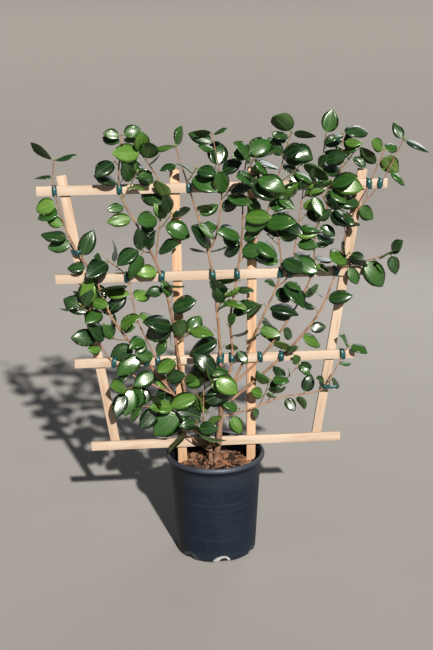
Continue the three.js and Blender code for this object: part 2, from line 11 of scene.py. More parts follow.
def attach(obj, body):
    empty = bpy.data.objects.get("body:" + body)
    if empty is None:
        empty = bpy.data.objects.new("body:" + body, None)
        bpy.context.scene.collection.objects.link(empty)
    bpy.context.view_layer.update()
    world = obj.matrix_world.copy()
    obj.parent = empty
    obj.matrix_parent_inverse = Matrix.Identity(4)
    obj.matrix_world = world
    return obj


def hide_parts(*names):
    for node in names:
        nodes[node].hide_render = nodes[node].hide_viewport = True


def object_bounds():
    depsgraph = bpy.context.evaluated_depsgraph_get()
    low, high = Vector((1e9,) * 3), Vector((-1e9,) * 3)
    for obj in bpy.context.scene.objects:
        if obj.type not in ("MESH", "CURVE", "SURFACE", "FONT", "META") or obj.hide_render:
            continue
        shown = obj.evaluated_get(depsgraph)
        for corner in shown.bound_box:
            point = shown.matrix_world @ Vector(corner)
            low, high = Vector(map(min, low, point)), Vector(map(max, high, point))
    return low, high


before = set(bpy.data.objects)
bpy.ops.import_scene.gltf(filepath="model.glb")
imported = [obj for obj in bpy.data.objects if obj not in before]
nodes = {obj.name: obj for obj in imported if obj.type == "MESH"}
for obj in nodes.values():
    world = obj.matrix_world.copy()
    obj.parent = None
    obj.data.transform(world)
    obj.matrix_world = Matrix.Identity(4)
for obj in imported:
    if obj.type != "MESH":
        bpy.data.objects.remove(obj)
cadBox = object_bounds()
mm = 0.001

# The camera stands where the photo was taken from, and its focal length is in pixels of the photo's frame
view = {"place": (-0.222, -2.795, 1.495), "turn": -4.7, "down": 16.28, "roll": -0.65,
        "focalPixels": 1049.5, "framePixels": 650, "sensor": 36, "farthest": 120}


def addCamera():
    data = bpy.data.cameras.new("view")
    camera = bpy.data.objects.new("view", data)
    bpy.context.scene.collection.objects.link(camera)
    turn, down, roll = (math.radians(view[key]) for key in ("turn", "down", "roll"))
    ahead = Vector((-math.sin(turn) * math.cos(down), math.cos(turn) * math.cos(down), -math.sin(down)))
    level = Vector((math.cos(turn), math.sin(turn), 0))
    above = level.cross(ahead)
    side = level * math.cos(roll) + above * math.sin(roll)
    top = above * math.cos(roll) - level * math.sin(roll)
    data.lens = view["sensor"] * view["focalPixels"] / view["framePixels"]
    data.sensor_width = view["sensor"]
    data.clip_end = view["farthest"]
    facing = Matrix((side, top, -ahead)).transposed().to_4x4()
    camera.matrix_world = Matrix.Translation(view["place"]) @ facing
    bpy.context.scene.camera = camera


addCamera()
print("camera placed")


# Shader maths: a signal is a socket, and sums on signals add Math nodes to its finish
class Signal:
    def __init__(self, finish, socket):
        self.finish, self.socket = finish, socket

    def sum(self, operation, *values):
        return self.finish.add("ShaderNodeMath", {"operation": operation}, dict(enumerate(values)))

    def __add__(self, other):
        return self.sum("ADD", self, other)

    def __sub__(self, other):
        return self.sum("SUBTRACT", self, other)

    def __rsub__(self, other):
        return self.sum("SUBTRACT", other, self)

    def __mul__(self, other):
        return self.sum("MULTIPLY", self, other)

    def __truediv__(self, other):
        return self.sum("DIVIDE", self, other)

    def __pow__(self, other):
        return self.sum("POWER", self, other)

    def __abs__(self):
        return self.sum("ABSOLUTE", self)

    __radd__ = __add__
    __rmul__ = __mul__

    # 0 up to low, 1 from high, and an even slope between
    def ramp(self, low, high):
        return self.finish.add("ShaderNodeMapRange", {"interpolation_type": "SMOOTHSTEP"},
                               {"Value": self, "From Min": low, "From Max": high})


class Finish:
    def __init__(self, name, **sockets):
        self.material = bpy.data.materials.new(name)
        self.material.use_nodes = True
        self.tree = self.material.node_tree
        self.tree.nodes.clear()
        self.shader = self.tree.nodes.new("ShaderNodeBsdfPrincipled")
        output = self.tree.nodes.new("ShaderNodeOutputMaterial")
        self.tree.links.new(self.shader.outputs[0], output.inputs[0])
        self.show(**sockets)

    def set(self, node, sockets):
        for key, value in sockets.items():
            socket = node.inputs[key]
            if isinstance(value, Signal):
                self.tree.links.new(value.socket, socket)
            elif socket.type == "RGBA" and len(value) == 3:
                socket.default_value = (*value, 1)
            else:
                socket.default_value = value

    # Any node: its settings first, then the values or links of its sockets
    def add(self, kind, settings=None, sockets=None, output=0):
        node = self.tree.nodes.new(kind)
        for key, value in (settings or {}).items():
            setattr(node, key, value)
        self.set(node, sockets or {})
        return Signal(self, node.outputs[output])

    def place(self):
        return self.add("ShaderNodeTexCoord", output="Object")

    def parts(self, vector):
        return [self.add("ShaderNodeSeparateXYZ", sockets={0: vector}, output=i) for i in range(3)]

    def turned(self, vector, location=(0, 0, 0), rotation=(0, 0, 0), scale=(1, 1, 1)):
        return self.add("ShaderNodeMapping", sockets={"Vector": vector, "Location": location,
                                                      "Rotation": rotation, "Scale": scale})

    def noise(self, vector, scale, detail=3, roughness=0.5):
        return self.add("ShaderNodeTexNoise", sockets={"Vector": vector, "Scale": scale, "Detail": detail,
                                                       "Roughness": roughness})

    def cells(self, vector, scale):
        return self.add("ShaderNodeTexVoronoi", sockets={"Vector": vector, "Scale": scale}, output="Distance")

    def mix(self, share, low, high):
        return self.add("ShaderNodeMix", {"data_type": "RGBA"}, {0: share, 6: low, 7: high}, output=2)

    def bump(self, height, strength, distance):
        sockets = {"Height": height, "Strength": strength, "Distance": distance}
        return self.add("ShaderNodeBump", sockets=sockets)

    # Feeds the shader's sockets, whose names have _ for a space here
    def show(self, **sockets):
        self.set(self.shader, {key.replace("_", " "): value for key, value in sockets.items()})
        return self.material


def deselect():
    if bpy.context.object and bpy.context.object.mode != "OBJECT":
        bpy.ops.object.mode_set(mode="OBJECT")
    bpy.ops.object.select_all(action="DESELECT")


# The object that an operator has just added, under its own name, alone in the selection
def newest(name):
    piece = bpy.context.object
    piece.name = piece.data.name = name
    return piece


# Makes a piece the active one, and the only one selected
def choose(piece):
    deselect()
    piece.select_set(True)
    bpy.context.view_layer.objects.active = piece


# Puts a piece's place, turn and size into its mesh
def settle(piece):
    choose(piece)
    bpy.ops.object.transform_apply(location=True, rotation=True, scale=True)


def applyModifier(piece, kind, **settings):
    choose(piece)
    modifier = piece.modifiers.new(kind.lower(), kind)
    for key, value in settings.items():
        setattr(modifier, key, value)
    bpy.ops.object.modifier_apply(modifier=modifier.name)


def smoothBelow(piece, degrees):
    choose(piece)
    bpy.ops.object.shade_smooth_by_angle(angle=math.radians(degrees))


# Opens the active piece's mesh with all of it selected
def editAll():
    bpy.ops.object.mode_set(mode="EDIT")
    bpy.ops.mesh.select_all(action="SELECT")


def faceOutwards(piece):
    choose(piece)
    editAll()
    bpy.ops.mesh.normals_make_consistent(inside=False)
    bpy.ops.object.mode_set(mode="OBJECT")


# A flat disc as a new piece, in metres, open for editing
def addDisc(name, radius, sides, height):
    deselect()
    place = (0, 0, height)
    bpy.ops.mesh.primitive_circle_add(vertices=sides, radius=radius, fill_type="NGON", location=place)
    piece = newest(name)
    editAll()
    return piece


# Draws the selected face up through rings of radius and height, in millimetres
def drawUp(radius, height, rings):
    for nextRadius, nextHeight in rings:
        rise = (0, 0, (nextHeight - height) * mm)
        bpy.ops.mesh.extrude_region_move(TRANSFORM_OT_translate={"value": rise})
        share = nextRadius / radius
        bpy.ops.transform.resize(value=(share, share, 1), center_override=(0, 0, nextHeight * mm))
        radius, height = nextRadius, nextHeight


# Hands a finished piece over: it joins the root body, and the nodes that it stands for are hidden
def hand(piece, slot, *replaced):
    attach(piece, "root")
    if replaced:
        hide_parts(*replaced)


# Points, faces and their finishes gathered for one joined mesh, in millimetres
class Gather:
    def __init__(self):
        self.points, self.faces, self.slots, self.places = [], [], [], []
        self.count = 0

    def add(self, points, faces, slot=0, places=None):
        points = np.asarray(points, float)
        self.points.append(points)
        self.faces += [tuple(self.count + i for i in face) for face in faces]
        self.slots += slot if isinstance(slot, list) else [slot] * len(faces)
        self.places.append(np.zeros((len(points), 2)) if places is None else np.asarray(places, float))
        self.count += len(points)

    def build(self, name, materials, smooth=True):
        mesh = bpy.data.meshes.new(name)
        mesh.from_pydata((np.vstack(self.points) * mm).tolist(), [], self.faces)
        piece = bpy.data.objects.new(name, mesh)
        bpy.context.scene.collection.objects.link(piece)
        for material in materials:
            mesh.materials.append(material)
        mesh.polygons.foreach_set("material_index", self.slots)
        mesh.polygons.foreach_set("use_smooth", [smooth] * len(self.faces))
        corners = np.zeros(len(mesh.loops), int)
        mesh.loops.foreach_get("vertex_index", corners)
        layer = mesh.uv_layers.new(name="surface")
        layer.data.foreach_set("uv", np.vstack(self.places)[corners].ravel())
        mesh.update()
        print(name, len(self.faces), "faces")
        return piece


# The growth rule of the plant, in millimetres, the same as in the part
right = np.array((1.0, 0.0, 0.0))
back = np.array((0.0, 1.0, 0.0))
up = np.array((0.0, 0.0, 1.0))
gap = 0.3
ground = 264.3
turnRound = 6.28  # about a whole turn, for the phases of waves
wheel = {"size": 2147483647, "step": 48271, "spread": 7919, "start": 12345}
# What each row of draws adds to a seed or multiplies it by, or its whole seed
seedRule = {
    "row": 100, "stem": 1000, "joint": 10, "single": 5, "tip": 900, "fineRow": 700, "fineLeaf": 300,
    "bark": 300, "bend": 31, "size": 57, "tone": 77, "bud": 5000, "tipBud": 6000, "mound": 88, "chips": 41,
    "tie": 900, "uprightTie": 950,
}
lath = {"width": 26, "thickness": 9, "ease": 0.8, "crease": 40}
trellis = {
    "front": 7, "middle": 6,
    "railHeights": [324.5, 574.5, 817.5, 1059.5],
    "railHalfLengths": [360, 396, 436, 474],
    "inner": {"foot": 100, "head": 105, "bottom": 205, "top": 1110},
    "outer": {"foot": 290, "head": 401, "bottom": 312, "top": 1099},
}
stems = {
    "trunk": {"start": (3, 4, ground), "x": [9, 20], "tip": (21, 462), "radii": (9.2, 7.2)},
    "leaning_stem": {"start": (-13, 1, ground), "x": [-19], "tip": (-60, 390), "radii": (6.4, 5.2)},
    "left_tall": {"from": "leaning_stem", "at": 388, "x": [-77, -99, -115, -141, -192, -247],
                  "tip": (-236, 1202), "radii": (4.8, 1.6), "bareTo": 505,
                  "seed": 39, "spacing": (70, 49), "fine": 49},
    "left_top": {"from": "left_tall", "at": 859, "x": [-147, -133], "tip": (-187, 1156),
                 "radii": (2.2, 1.4), "seed": 37, "spacing": (60, 34), "fine": 137},
    "far_left": {"from": "leaning_stem", "at": 387, "x": [-97, -188, -275, -322, -386, -419],
                 "tip": (-417, 1143), "radii": (4.4, 1.5), "bareTo": 535,
                 "seed": 17, "spacing": (60, 70), "fine": 182},
    "left_low": {"from": "far_left", "at": 475, "x": [-280, -334], "tip": (-338, 770),
                 "radii": (2.8, 1.4), "seed": 90, "spacing": (68, 30), "fine": 4},
    "left_inner": {"from": "far_left", "at": 498, "x": [-157, -210, -236], "tip": (-283, 868),
                   "radii": (2.8, 1.3), "seed": 116, "spacing": (60, 68), "fine": 105},
    "middle_left": {"from": "trunk", "at": 461, "x": [18, 11, -1, -26, -62], "tip": (-95, 1170),
                    "radii": (4.9, 1.5), "bareTo": 520, "seed": 104, "spacing": (81, 108), "fine": 111},
    "middle_top": {"from": "middle_left", "at": 880, "x": [11, 26], "tip": (1, 1203),
                   "radii": (2.3, 1.4), "seed": 125, "spacing": (60, 81), "fine": 192},
    "middle_right": {"from": "trunk", "at": 448, "x": [51, 46, 67, 80, 84], "tip": (93, 1150),
                     "radii": (4, 1.5), "bareTo": 520, "seed": 111, "spacing": (81, 45), "fine": 90},
    "right_top": {"from": "middle_right", "at": 850, "x": [128, 171], "tip": (213, 1203),
                  "radii": (2.3, 1.4), "seed": 102, "spacing": (50, 27), "fine": 236},
    "right_inner": {"from": "trunk", "at": 440, "x": [87, 138, 187, 176], "tip": (172, 985),
                    "radii": (4, 1.4), "bareTo": 545, "seed": 32, "spacing": (60, 50), "fine": 6},
    "right_side": {"from": "right_inner", "at": 775, "x": [212, 233], "tip": (246, 1050),
                   "radii": (2.2, 1.3), "seed": 70, "spacing": (60, 38), "fine": 159},
    "right_tall": {"from": "right_inner", "at": 500, "x": [131, 216, 276, 284, 343], "tip": (350, 1198),
                   "radii": (3.3, 1.5), "bareTo": 592, "seed": 31, "spacing": (88, 27), "fine": 228},
    "right_crown": {"from": "right_tall", "at": 1000, "x": [296], "tip": (305, 1196), "radii": (2, 1.4),
                    "seed": 65, "spacing": (45, 49), "fine": 197, "tipSpread": 0.15},
    "far_right": {"from": "trunk", "at": 425, "x": [43, 190, 290, 342, 371, 429], "tip": (466, 1150),
                  "radii": (4.2, 1.5), "bareTo": 565, "seed": 115, "spacing": (108, 81), "fine": 74},
    "far_right_top": {"from": "far_right", "at": 982, "x": [459], "tip": (515, 1176),
                      "radii": (1.9, 1.3), "seed": 59, "spacing": (81, 68), "fine": 93},
    "far_right_side": {"from": "far_right", "at": 826, "x": [], "tip": (492, 867),
                       "radii": (1.9, 1.3), "seed": 28, "spacing": (60, 38), "fine": 213},
    "low_right": {"from": "trunk", "at": 405,
                  "by": [(110, 428), (197, 458), (301, 474), (340, 524), (367, 574.5)], "x": [],
                  "tip": (382, 600), "radii": (2.4, 1.4), "seed": 121, "spacing": (81, 68), "fine": 237,
                  "size": 0.75},
    "low_left": {"from": "far_left", "at": 418, "by": [(-130, 440)], "x": [], "tip": (-205, 446),
                 "radii": (2.3, 1.4), "seed": 43, "spacing": (26, 26), "fine": 178},
    "low_middle": {"from": "leaning_stem", "at": 350, "x": [-34], "tip": (-26, 545),
                   "radii": (2.4, 1.4), "seed": 61, "spacing": (30, 54), "fine": 210, "forward": 26},
    "low_front": {"from": "trunk", "at": 286, "by": [(-38, 322)], "x": [], "tip": (-92, 376),
                  "radii": (1.8, 1.2), "seed": 20, "spacing": (30, 40), "fine": 64, "forward": 22},
    "low_right_top": {"from": "low_right", "at": 440, "x": [], "tip": (240, 550), "radii": (1.6, 1.1),
                      "seed": 29, "spacing": (61, 54), "fine": 233, "size": 0.75},
}
depthRule = {"clear": 2, "sway": 12, "tipSway": 20, "aboveStart": 12}
leafRule = {
    "stalk": 8, "stalkSpots": (0.35, 0.7, 1), "length": (52, 88), "slimness": (0.56, 0.7), "lowest": 306,
    "tries": 14, "footPower": 0.88, "fullPower": 0.72, "ends": (-0.05, 1.05), "within": (0.01, 0.99),
    "outwards": (0.5, 1), "along": (0.1, 0.8), "depth": (-0.65, 0.55), "lift": (-0.5, 0.15),
    "frontShare": 0.8, "faceFront": (0.25, 1), "faceUp": (0.3, 1), "faceSide": (-0.4, 0.4),
    "arch": (0.02, 0.14), "fold": (0.05, 0.3),
    "footSize": 1.08, "topSize": 0.88, "twigSize": 0.92, "tipSize": 0.85, "tipSpread": 0.7,
}
twigRule = {
    "chance": 0.22, "length": (28, 78), "radius": 1.3, "tries": 6, "outwards": (0.4, 1),
    "along": (0.5, 1), "depth": (-1, 0.7), "rise": 0.16, "bendRise": 0.02, "leafShares": (0.62, 0.8, 1),
    "spots": (0.08, 0.16, 0.28, 0.4, 0.55, 0.7, 0.85, 1),
}
rowRule = {"forkFoot": 16, "first": (4, 14), "evenness": (0.7, 1.3), "end": 4}
room = {
    "beadStep": 7, "search": 11, "leafHalfDepth": 4.2, "leafToBlock": 0.8, "leafToLeaf": 0.8,
    "leafToBead": 1.2, "leafOwnRoot": 13, "stalkToBlock": 2, "sameMass": 0.7, "bladeHalfDepth": 5,
    "twigToBlock": 2.2, "twigToLeaf": 2.8, "twigToBead": 4, "twigOwnRoot": 9, "twigOwnStem": 11,
}
tieRule = {"thickness": 1, "spare": 6}
rails = trellis["railHeights"]
levels = [rails[0]]
for lowRail, highRail in zip(rails, rails[1:]):
    levels += [(lowRail + highRail) / 2, highRail]


def unit(v):
    return v / math.sqrt(float(v @ v))


def cross(a, b):
    return np.array((a[1] * b[2] - a[2] * b[1], a[2] * b[0] - a[0] * b[2], a[0] * b[1] - a[1] * b[0]))


def mix(a, b, t):
    return a + (b - a) * t


# A repeatable row of numbers between low and high for a seed
def diceFor(seed):
    state = [(seed * wheel["spread"] + wheel["start"]) % wheel["size"]]

    def roll():
        state[0] = state[0] * wheel["step"] % wheel["size"]
        return state[0] / wheel["size"]
    roll()
    roll()
    return lambda low=0.0, high=1.0: low + (high - low) * roll()


# The point at share w of the curve from p1 to p2 that sets off as t0 and arrives as t1
def between(p1, p2, t0, t1, w):
    return p1 + t0 * w + (3 * p2 - 3 * p1 - 2 * t0 - t1) * w * w + (2 * p1 - 2 * p2 + t0 + t1) * w ** 3


# A smooth curve through knots, with the distance to each of its points
class Line:
    def __init__(self, knots, steps):
        k = np.array(knots, float)
        padded = np.vstack([2 * k[0] - k[1], k, 2 * k[-1] - k[-2]])
        count = (len(k) - 1) * steps
        spots = []
        for d in range(count + 1):
            p = (len(k) - 1) * (d / count)
            i = min(int(p), len(k) - 2)
            w = p - i
            p0, p1, p2, p3 = padded[i:i + 4]
            spots.append(between(p1, p2, 0.5 * (p2 - p0), 0.5 * (p3 - p1), w))
        self.knots = k
        self.points = np.array(spots)
        self.lengths = [0.0]
        for a, b in zip(spots, spots[1:]):
            self.lengths.append(self.lengths[-1] + math.sqrt(float((b - a) @ (b - a))))
        self.total = self.lengths[-1]

    def spot(self, s):
        i = 0
        while i < len(self.points) - 2 and self.lengths[i + 1] < s:
            i += 1
        a, b = self.points[i], self.points[i + 1]
        return a + (b - a) * ((s - self.lengths[i]) / (self.lengths[i + 1] - self.lengths[i])), unit(b - a)

    def atHeight(self, z):
        for i, p in enumerate(self.points):
            if p[2] >= z:
                if i == 0:
                    return 0.0
                a = self.points[i - 1]
                return mix(self.lengths[i - 1], self.lengths[i], (z - a[2]) / (p[2] - a[2]))
        return self.total


# A block is a centre, three axes and half sizes
def blockAt(centre, axes, halves):
    return centre, np.array(axes), np.array(halves, float)


def blocksMeet(a, b, scale=1.0, margin=0.0):
    apart = b[0] - a[0]
    reachA, reachB = (math.sqrt(float(block[2] @ block[2])) for block in (a, b))
    if float(apart @ apart) > (reachA + reachB + margin + 1) ** 2:
        return False
    axes = [*a[1], *b[1], *(cross(u, v) for u in a[1] for v in b[1])]
    for axis in axes:
        size = math.sqrt(float(axis @ axis))
        if size < 1e-6:
            continue
        reach = float(np.abs(a[1] @ axis) @ a[2] + np.abs(b[1] @ axis) @ b[2])
        if abs(float(apart @ axis)) >= scale * reach + margin * size:
            return False
    return True


def nearBlock(point, block, distance):
    return bool(np.all(np.abs(block[1] @ (point - block[0])) < block[2] + distance))


# How much of a leaf's half width its outline reaches at a share of its length
def outline(share):
    return np.sin(np.pi * share ** leafRule["footPower"]) ** leafRule["fullPower"]


# The ways across and along a lath that leans sideways
def leanWays(lean):
    return np.array((math.cos(lean), 0, -math.sin(lean))), np.array((math.sin(lean), 0, math.cos(lean)))


# The uprights: middle, lean from the vertical and length
def uprightAt(kind, side):
    t = trellis[kind]
    run = rails[-1] - rails[0]
    middle = (t["bottom"] + t["top"]) / 2
    lean = math.atan(side * (t["head"] - t["foot"]) / run)
    x = trellis["middle"] + side * (t["foot"] + (t["head"] - t["foot"]) * (middle - rails[0]) / run)
    y = trellis["front"] + lath["thickness"] * 1.5 + gap
    return np.array((x, y, middle)), lean, (t["top"] - t["bottom"]) / math.cos(lean)


uprights = {
    "upright_outer_left": uprightAt("outer", -1), "upright_inner_left": uprightAt("inner", -1),
    "upright_inner_right": uprightAt("inner", 1), "upright_outer_right": uprightAt("outer", 1),
}
railY = trellis["front"] + lath["thickness"] / 2


class Plant:
    def __init__(self):
        for order, (name, stem) in enumerate(stems.items()):
            stem["name"] = name
            self.route(stem, order + 1)
        flat = (right, back, up)
        half = (lath["thickness"] / 2, lath["width"] / 2)
        self.blocks = [blockAt(np.array((trellis["middle"], railY, z)), flat, (reach, *half))
                       for z, reach in zip(rails, trellis["railHalfLengths"])]
        for place, lean, length in uprights.values():
            across, along = leanWays(lean)
            self.blocks.append(blockAt(place, (across, back, along), (half[1], half[0], length / 2)))
        self.ties = []
        for stem in stems.values():
            self.tieUp(stem)
        self.blocks += [tie["block"] for tie in self.ties]
        boxes = [(c, np.abs(axes).T @ halves) for c, axes, halves in self.blocks]
        self.blockLow = np.array([c - reach for c, reach in boxes])
        self.blockHigh = np.array([c + reach for c, reach in boxes])
        self.beads, self.leaves, self.twigs = [], [], []
        for stem in stems.values():
            self.addBeads(stem["line"], lambda s: self.radiusAt(stem, s))
        for stem in stems.values():
            if "seed" in stem:
                self.dress(stem)

    def radiusAt(self, stem, s):
        return mix(*stem["radii"], min(s / stem["line"].total, 1))

    def route(self, stem, order):
        dice = diceFor(order)
        parent = stems.get(stem.get("from"))
        start = np.array(stem["start"], float) if parent is None else (
            parent["line"].spot(parent["line"].atHeight(stem["at"]))[0])
        above = [z for z in levels if z > start[2] + depthRule["aboveStart"]]
        stops = [*stem.get("by", []), *((x, above[i]) for i, x in enumerate(stem["x"]))]
        forward = stem.get("forward", 0)

        def restY(radius):
            return trellis["front"] - radius - depthRule["clear"]

        knots = [start]
        for i, (x, z) in enumerate(stops):
            radius = mix(*stem["radii"], (i + 1) / (len(stops) + 1))
            sway = 0 if z in rails else dice(0, depthRule["sway"]) + forward
            knots.append(np.array((x, restY(radius) - sway, z)))
        tipY = restY(stem["radii"][1]) - dice(0, depthRule["tipSway"]) - forward
        knots.append(np.array((stem["tip"][0], tipY, stem["tip"][1])))
        stem["line"] = Line(knots, 3)

    def tieUp(self, stem):
        line = stem["line"]
        for z in rails[1:]:
            s = line.atHeight(z)
            if line.points[0][2] > z or s >= line.total:
                continue
            place = line.spot(s)[0]
            radius = self.radiusAt(stem, s)
            width = 2 * radius + tieRule["spare"]
            reach = (lath["width"] + width + tieRule["thickness"]) / 2
            crossings = [foot[0] + (z - foot[2]) * math.tan(lean) for foot, lean, _ in uprights.values()]
            if min(abs(x - place[0]) for x in crossings) < reach:
                continue
            front = place[1] - radius - 2 * gap
            rear = trellis["front"] + lath["thickness"] + gap
            halves = (width / 2, (rear - front) / 2 + tieRule["thickness"],
                      lath["width"] / 2 + gap + tieRule["thickness"])
            block = blockAt(np.array((place[0], (front + rear) / 2, z)), (right, back, up), halves)
            self.ties.append({"place": place, "radius": radius, "rail": z, "block": block})

    # Beads mark the room that a stem or twig takes
    def addBeads(self, line, radius):
        s = 0.0
        while s <= line.total:
            self.beads.append((*line.spot(s)[0], radius(s)))
            s += room["beadStep"]
        self.beadTable = np.array(self.beads)

    # Which of the points come nearer to a leaf's blade than their distances
    def touched(self, points, distances, leaf):
        away = points - leaf["base"]
        share = away @ leaf["aim"] / leaf["length"]
        half = leaf["width"] / 2 * outline(np.clip(share, *leafRule["within"]))
        low, high = leafRule["ends"]
        return ((share >= low) & (share <= high) & (np.abs(away @ leaf["across"]) < half + distances)
                & (np.abs(away @ leaf["face"]) < room["bladeHalfDepth"] + distances))

    def leafFits(self, leaf):
        centre, axes, halves = leaf["block"]
        drop = abs(leaf["aim"][2]) * halves[0] + abs(leaf["across"][2]) * halves[1]
        if centre[2] - drop < leafRule["lowest"]:
            return False
        stalk = [leaf["root"] + (leaf["base"] - leaf["root"]) * share for share in leafRule["stalkSpots"]]
        reach = np.abs(axes).T @ halves + room["search"]
        near = np.all((self.blockLow <= centre + reach) & (self.blockHigh >= centre - reach), axis=1)
        for i in np.nonzero(near)[0]:
            block = self.blocks[i]
            if (blocksMeet(leaf["block"], block, 1, room["leafToBlock"])
                    or any(nearBlock(spot, block, room["stalkToBlock"]) for spot in stalk)):
                return False
        for other in self.leaves:
            same = other["mass"] == leaf["mass"]
            scale, margin = (room["sameMass"], 0) if same else (1, room["leafToLeaf"])
            if blocksMeet(leaf["block"], other["block"], scale, margin):
                return False
        places, radii = self.beadTable[:, :3], self.beadTable[:, 3]
        far = np.linalg.norm(places - leaf["root"], axis=1) > room["leafOwnRoot"]
        return not np.any(far & self.touched(places, radii + room["leafToBead"], leaf))

    def placeLeaf(self, root, heading, side, seed, size, mass, spread=1.0, kind="grown"):
        dice = diceFor(seed)
        sideways = unit(cross(heading, back))
        for attempt in range(leafRule["tries"]):
            turn = side if attempt % 4 < 2 else -side
            outwards, along = dice(*leafRule["outwards"]), dice(*leafRule["along"])
            depth, lift = dice(*leafRule["depth"]), dice(*leafRule["lift"])
            aim = unit(heading * along + (sideways * (turn * outwards) + back * depth + up * lift) * spread)
            toLight = -1 if dice() < leafRule["frontShare"] else 1
            faceFront, faceUp, faceSide = (dice(*leafRule[k]) for k in ("faceFront", "faceUp", "faceSide"))
            face = back * (toLight * faceFront) + up * faceUp + right * faceSide
            face = unit(face - aim * float(face @ aim))
            across = cross(aim, face)
            length = dice(*leafRule["length"]) * size
            width = length * dice(*leafRule["slimness"])
            base = root + aim * leafRule["stalk"]
            arch, fold = dice(*leafRule["arch"]), dice(*leafRule["fold"])
            block = blockAt(base + aim * (length / 2), (aim, across, face),
                            ((length + 1) / 2, width / 2, room["leafHalfDepth"]))
            leaf = {"root": root, "base": base, "aim": aim, "across": across, "face": face, "length": length,
                    "width": width, "arch": arch, "fold": fold, "block": block, "mass": mass, "seed": seed,
                    "kind": kind}
            if self.leafFits(leaf):
                self.leaves.append(leaf)
                return leaf
        return None

    def placeTwig(self, root, heading, side, seed, reaches=twigRule["length"], radius=twigRule["radius"]):
        dice = diceFor(seed)
        sideways = unit(cross(heading, back))
        for attempt in range(twigRule["tries"]):
            outwards, along = dice(*twigRule["outwards"]), dice(*twigRule["along"])
            depth = dice(*twigRule["depth"])
            turn = -side if attempt % 2 else side
            out = unit(sideways * (turn * outwards) + heading * along + back * depth)
            reach = dice(*reaches)
            bend = root + out * (reach * 0.5) + up * (reach * twigRule["bendRise"])
            tip = root + out * reach + up * (reach * twigRule["rise"])
            line = Line([root, bend, tip], 2)
            spots = np.array([line.spot(line.total * share)[0] for share in twigRule["spots"]])
            if any(nearBlock(spot, block, room["twigToBlock"]) for spot in spots for block in self.blocks):
                continue
            away = spots[np.linalg.norm(spots - root, axis=1) >= room["twigOwnRoot"]]
            meets = (np.any(self.touched(away, room["twigToLeaf"], leaf)) for leaf in self.leaves)
            if len(away) and any(meets):
                continue
            fromRoot = np.linalg.norm(self.beadTable[:, :3] - root, axis=1)
            places = self.beadTable[fromRoot > room["twigOwnStem"]]
            apart = np.linalg.norm(away[:, None] - places[None, :, :3], axis=2)
            if len(away) and np.any(apart < places[None, :, 3] + room["twigToBead"]):
                continue
            self.addBeads(line, lambda s: radius)
            return line
        return None

    # How far along its line a stem is bare
    def bareLength(self, stem, otherwise):
        return stem["line"].atHeight(stem["bareTo"]) if "bareTo" in stem else otherwise

    # The mass of foliage that a stem belongs to: its own, or that of the stem it leaves
    def massOf(self, stem):
        own = ("bareTo" in stem or "by" in stem or "seed" not in stems[stem["from"]]
               or stem["from"] == "far_left")
        return stem["name"] if own else self.massOf(stems[stem["from"]])

    # Leaves and short twigs on either side of a stem in turn, and two leaves at its tip
    def dress(self, stem):
        dice = diceFor(stem["seed"] + seedRule["row"])
        mass, size, line = self.massOf(stem), stem.get("size", 1), stem["line"]
        stem["twigs"], stem["joints"] = [], []
        side = -1 if dice() < 0.5 else 1
        count = 0
        s = self.bareLength(stem, rowRule["forkFoot"]) + dice(*rowRule["first"])
        while s < line.total - rowRule["end"]:
            place, heading = line.spot(s)
            seed = stem["seed"] * seedRule["stem"] + count * seedRule["joint"]
            stem["joints"].append(s)
            twig = self.placeTwig(place, heading, side, seed) if dice() < twigRule["chance"] else None
            if twig:
                stem["twigs"].append(twig)
                for i, share in enumerate(twigRule["leafShares"]):
                    spot, along = twig.spot(twig.total * share)
                    self.placeLeaf(spot, along, side if i % 2 else -side, seed + i + 1,
                                   leafRule["twigSize"] * size, mass)
            else:
                grown = mix(leafRule["footSize"], leafRule["topSize"], s / line.total)
                self.placeLeaf(place, heading, side, seed + seedRule["single"], grown * size, mass)
            side = -side
            count += 1
            s += mix(*stem["spacing"], s / line.total) * dice(*rowRule["evenness"])
        spot, along = line.spot(line.total - 1)
        seed, grown = stem["seed"] * seedRule["stem"] + seedRule["tip"], leafRule["tipSize"] * size
        for i in range(2):
            spread = 1 if i else stem.get("tipSpread", leafRule["tipSpread"])
            self.placeLeaf(spot, along, side if i else -side, seed + i, grown, mass, spread, "tip")


plant = Plant()
print("plant grown:", len(plant.leaves), "leaves,", len(plant.ties), "ties")

# Finer growth by the same rule in the room that is left: young leaves, many of them on short spurs
fineRule = {
    "spacing": 60, "size": (0.72, 1.0), "first": 4, "fromFork": 20, "fromTwigFoot": 10,
    "spur": (10, 24), "spurRadius": 0.9, "spurChance": 0.4,
    "leafHalfDepth": 2.6, "sameMass": 0.6, "leafToLeaf": 0.4,
}


def growFiner(stem):
    seed = stem["fine"]
    dice = diceFor(seed + seedRule["fineRow"])
    mass, count = plant.massOf(stem), 0
    lines = [(stem["line"], plant.bareLength(stem, fineRule["fromFork"]))]
    for line, start in lines + [(twig, fineRule["fromTwigFoot"]) for twig in stem["twigs"]]:
        s = start + dice(fineRule["first"], fineRule["spacing"] / 2)
        side = 1 if dice() < 0.5 else -1
        while s < line.total - rowRule["end"]:
            place, heading = line.spot(s)
            leafSeed = seed * seedRule["stem"] + seedRule["fineLeaf"] + count * 2
            size = dice(*fineRule["size"]) * stem.get("size", 1)
            spur = dice() < fineRule["spurChance"] and plant.placeTwig(
                place, heading, side, leafSeed, fineRule["spur"], fineRule["spurRadius"])
            if spur:
                spurs.append(spur)
                place, heading = spur.spot(spur.total - 1)
            plant.placeLeaf(place, heading, side, leafSeed + 1, size, mass, kind="young")
            side = -side
            count += 1
            s += fineRule["spacing"] * dice(*rowRule["evenness"])


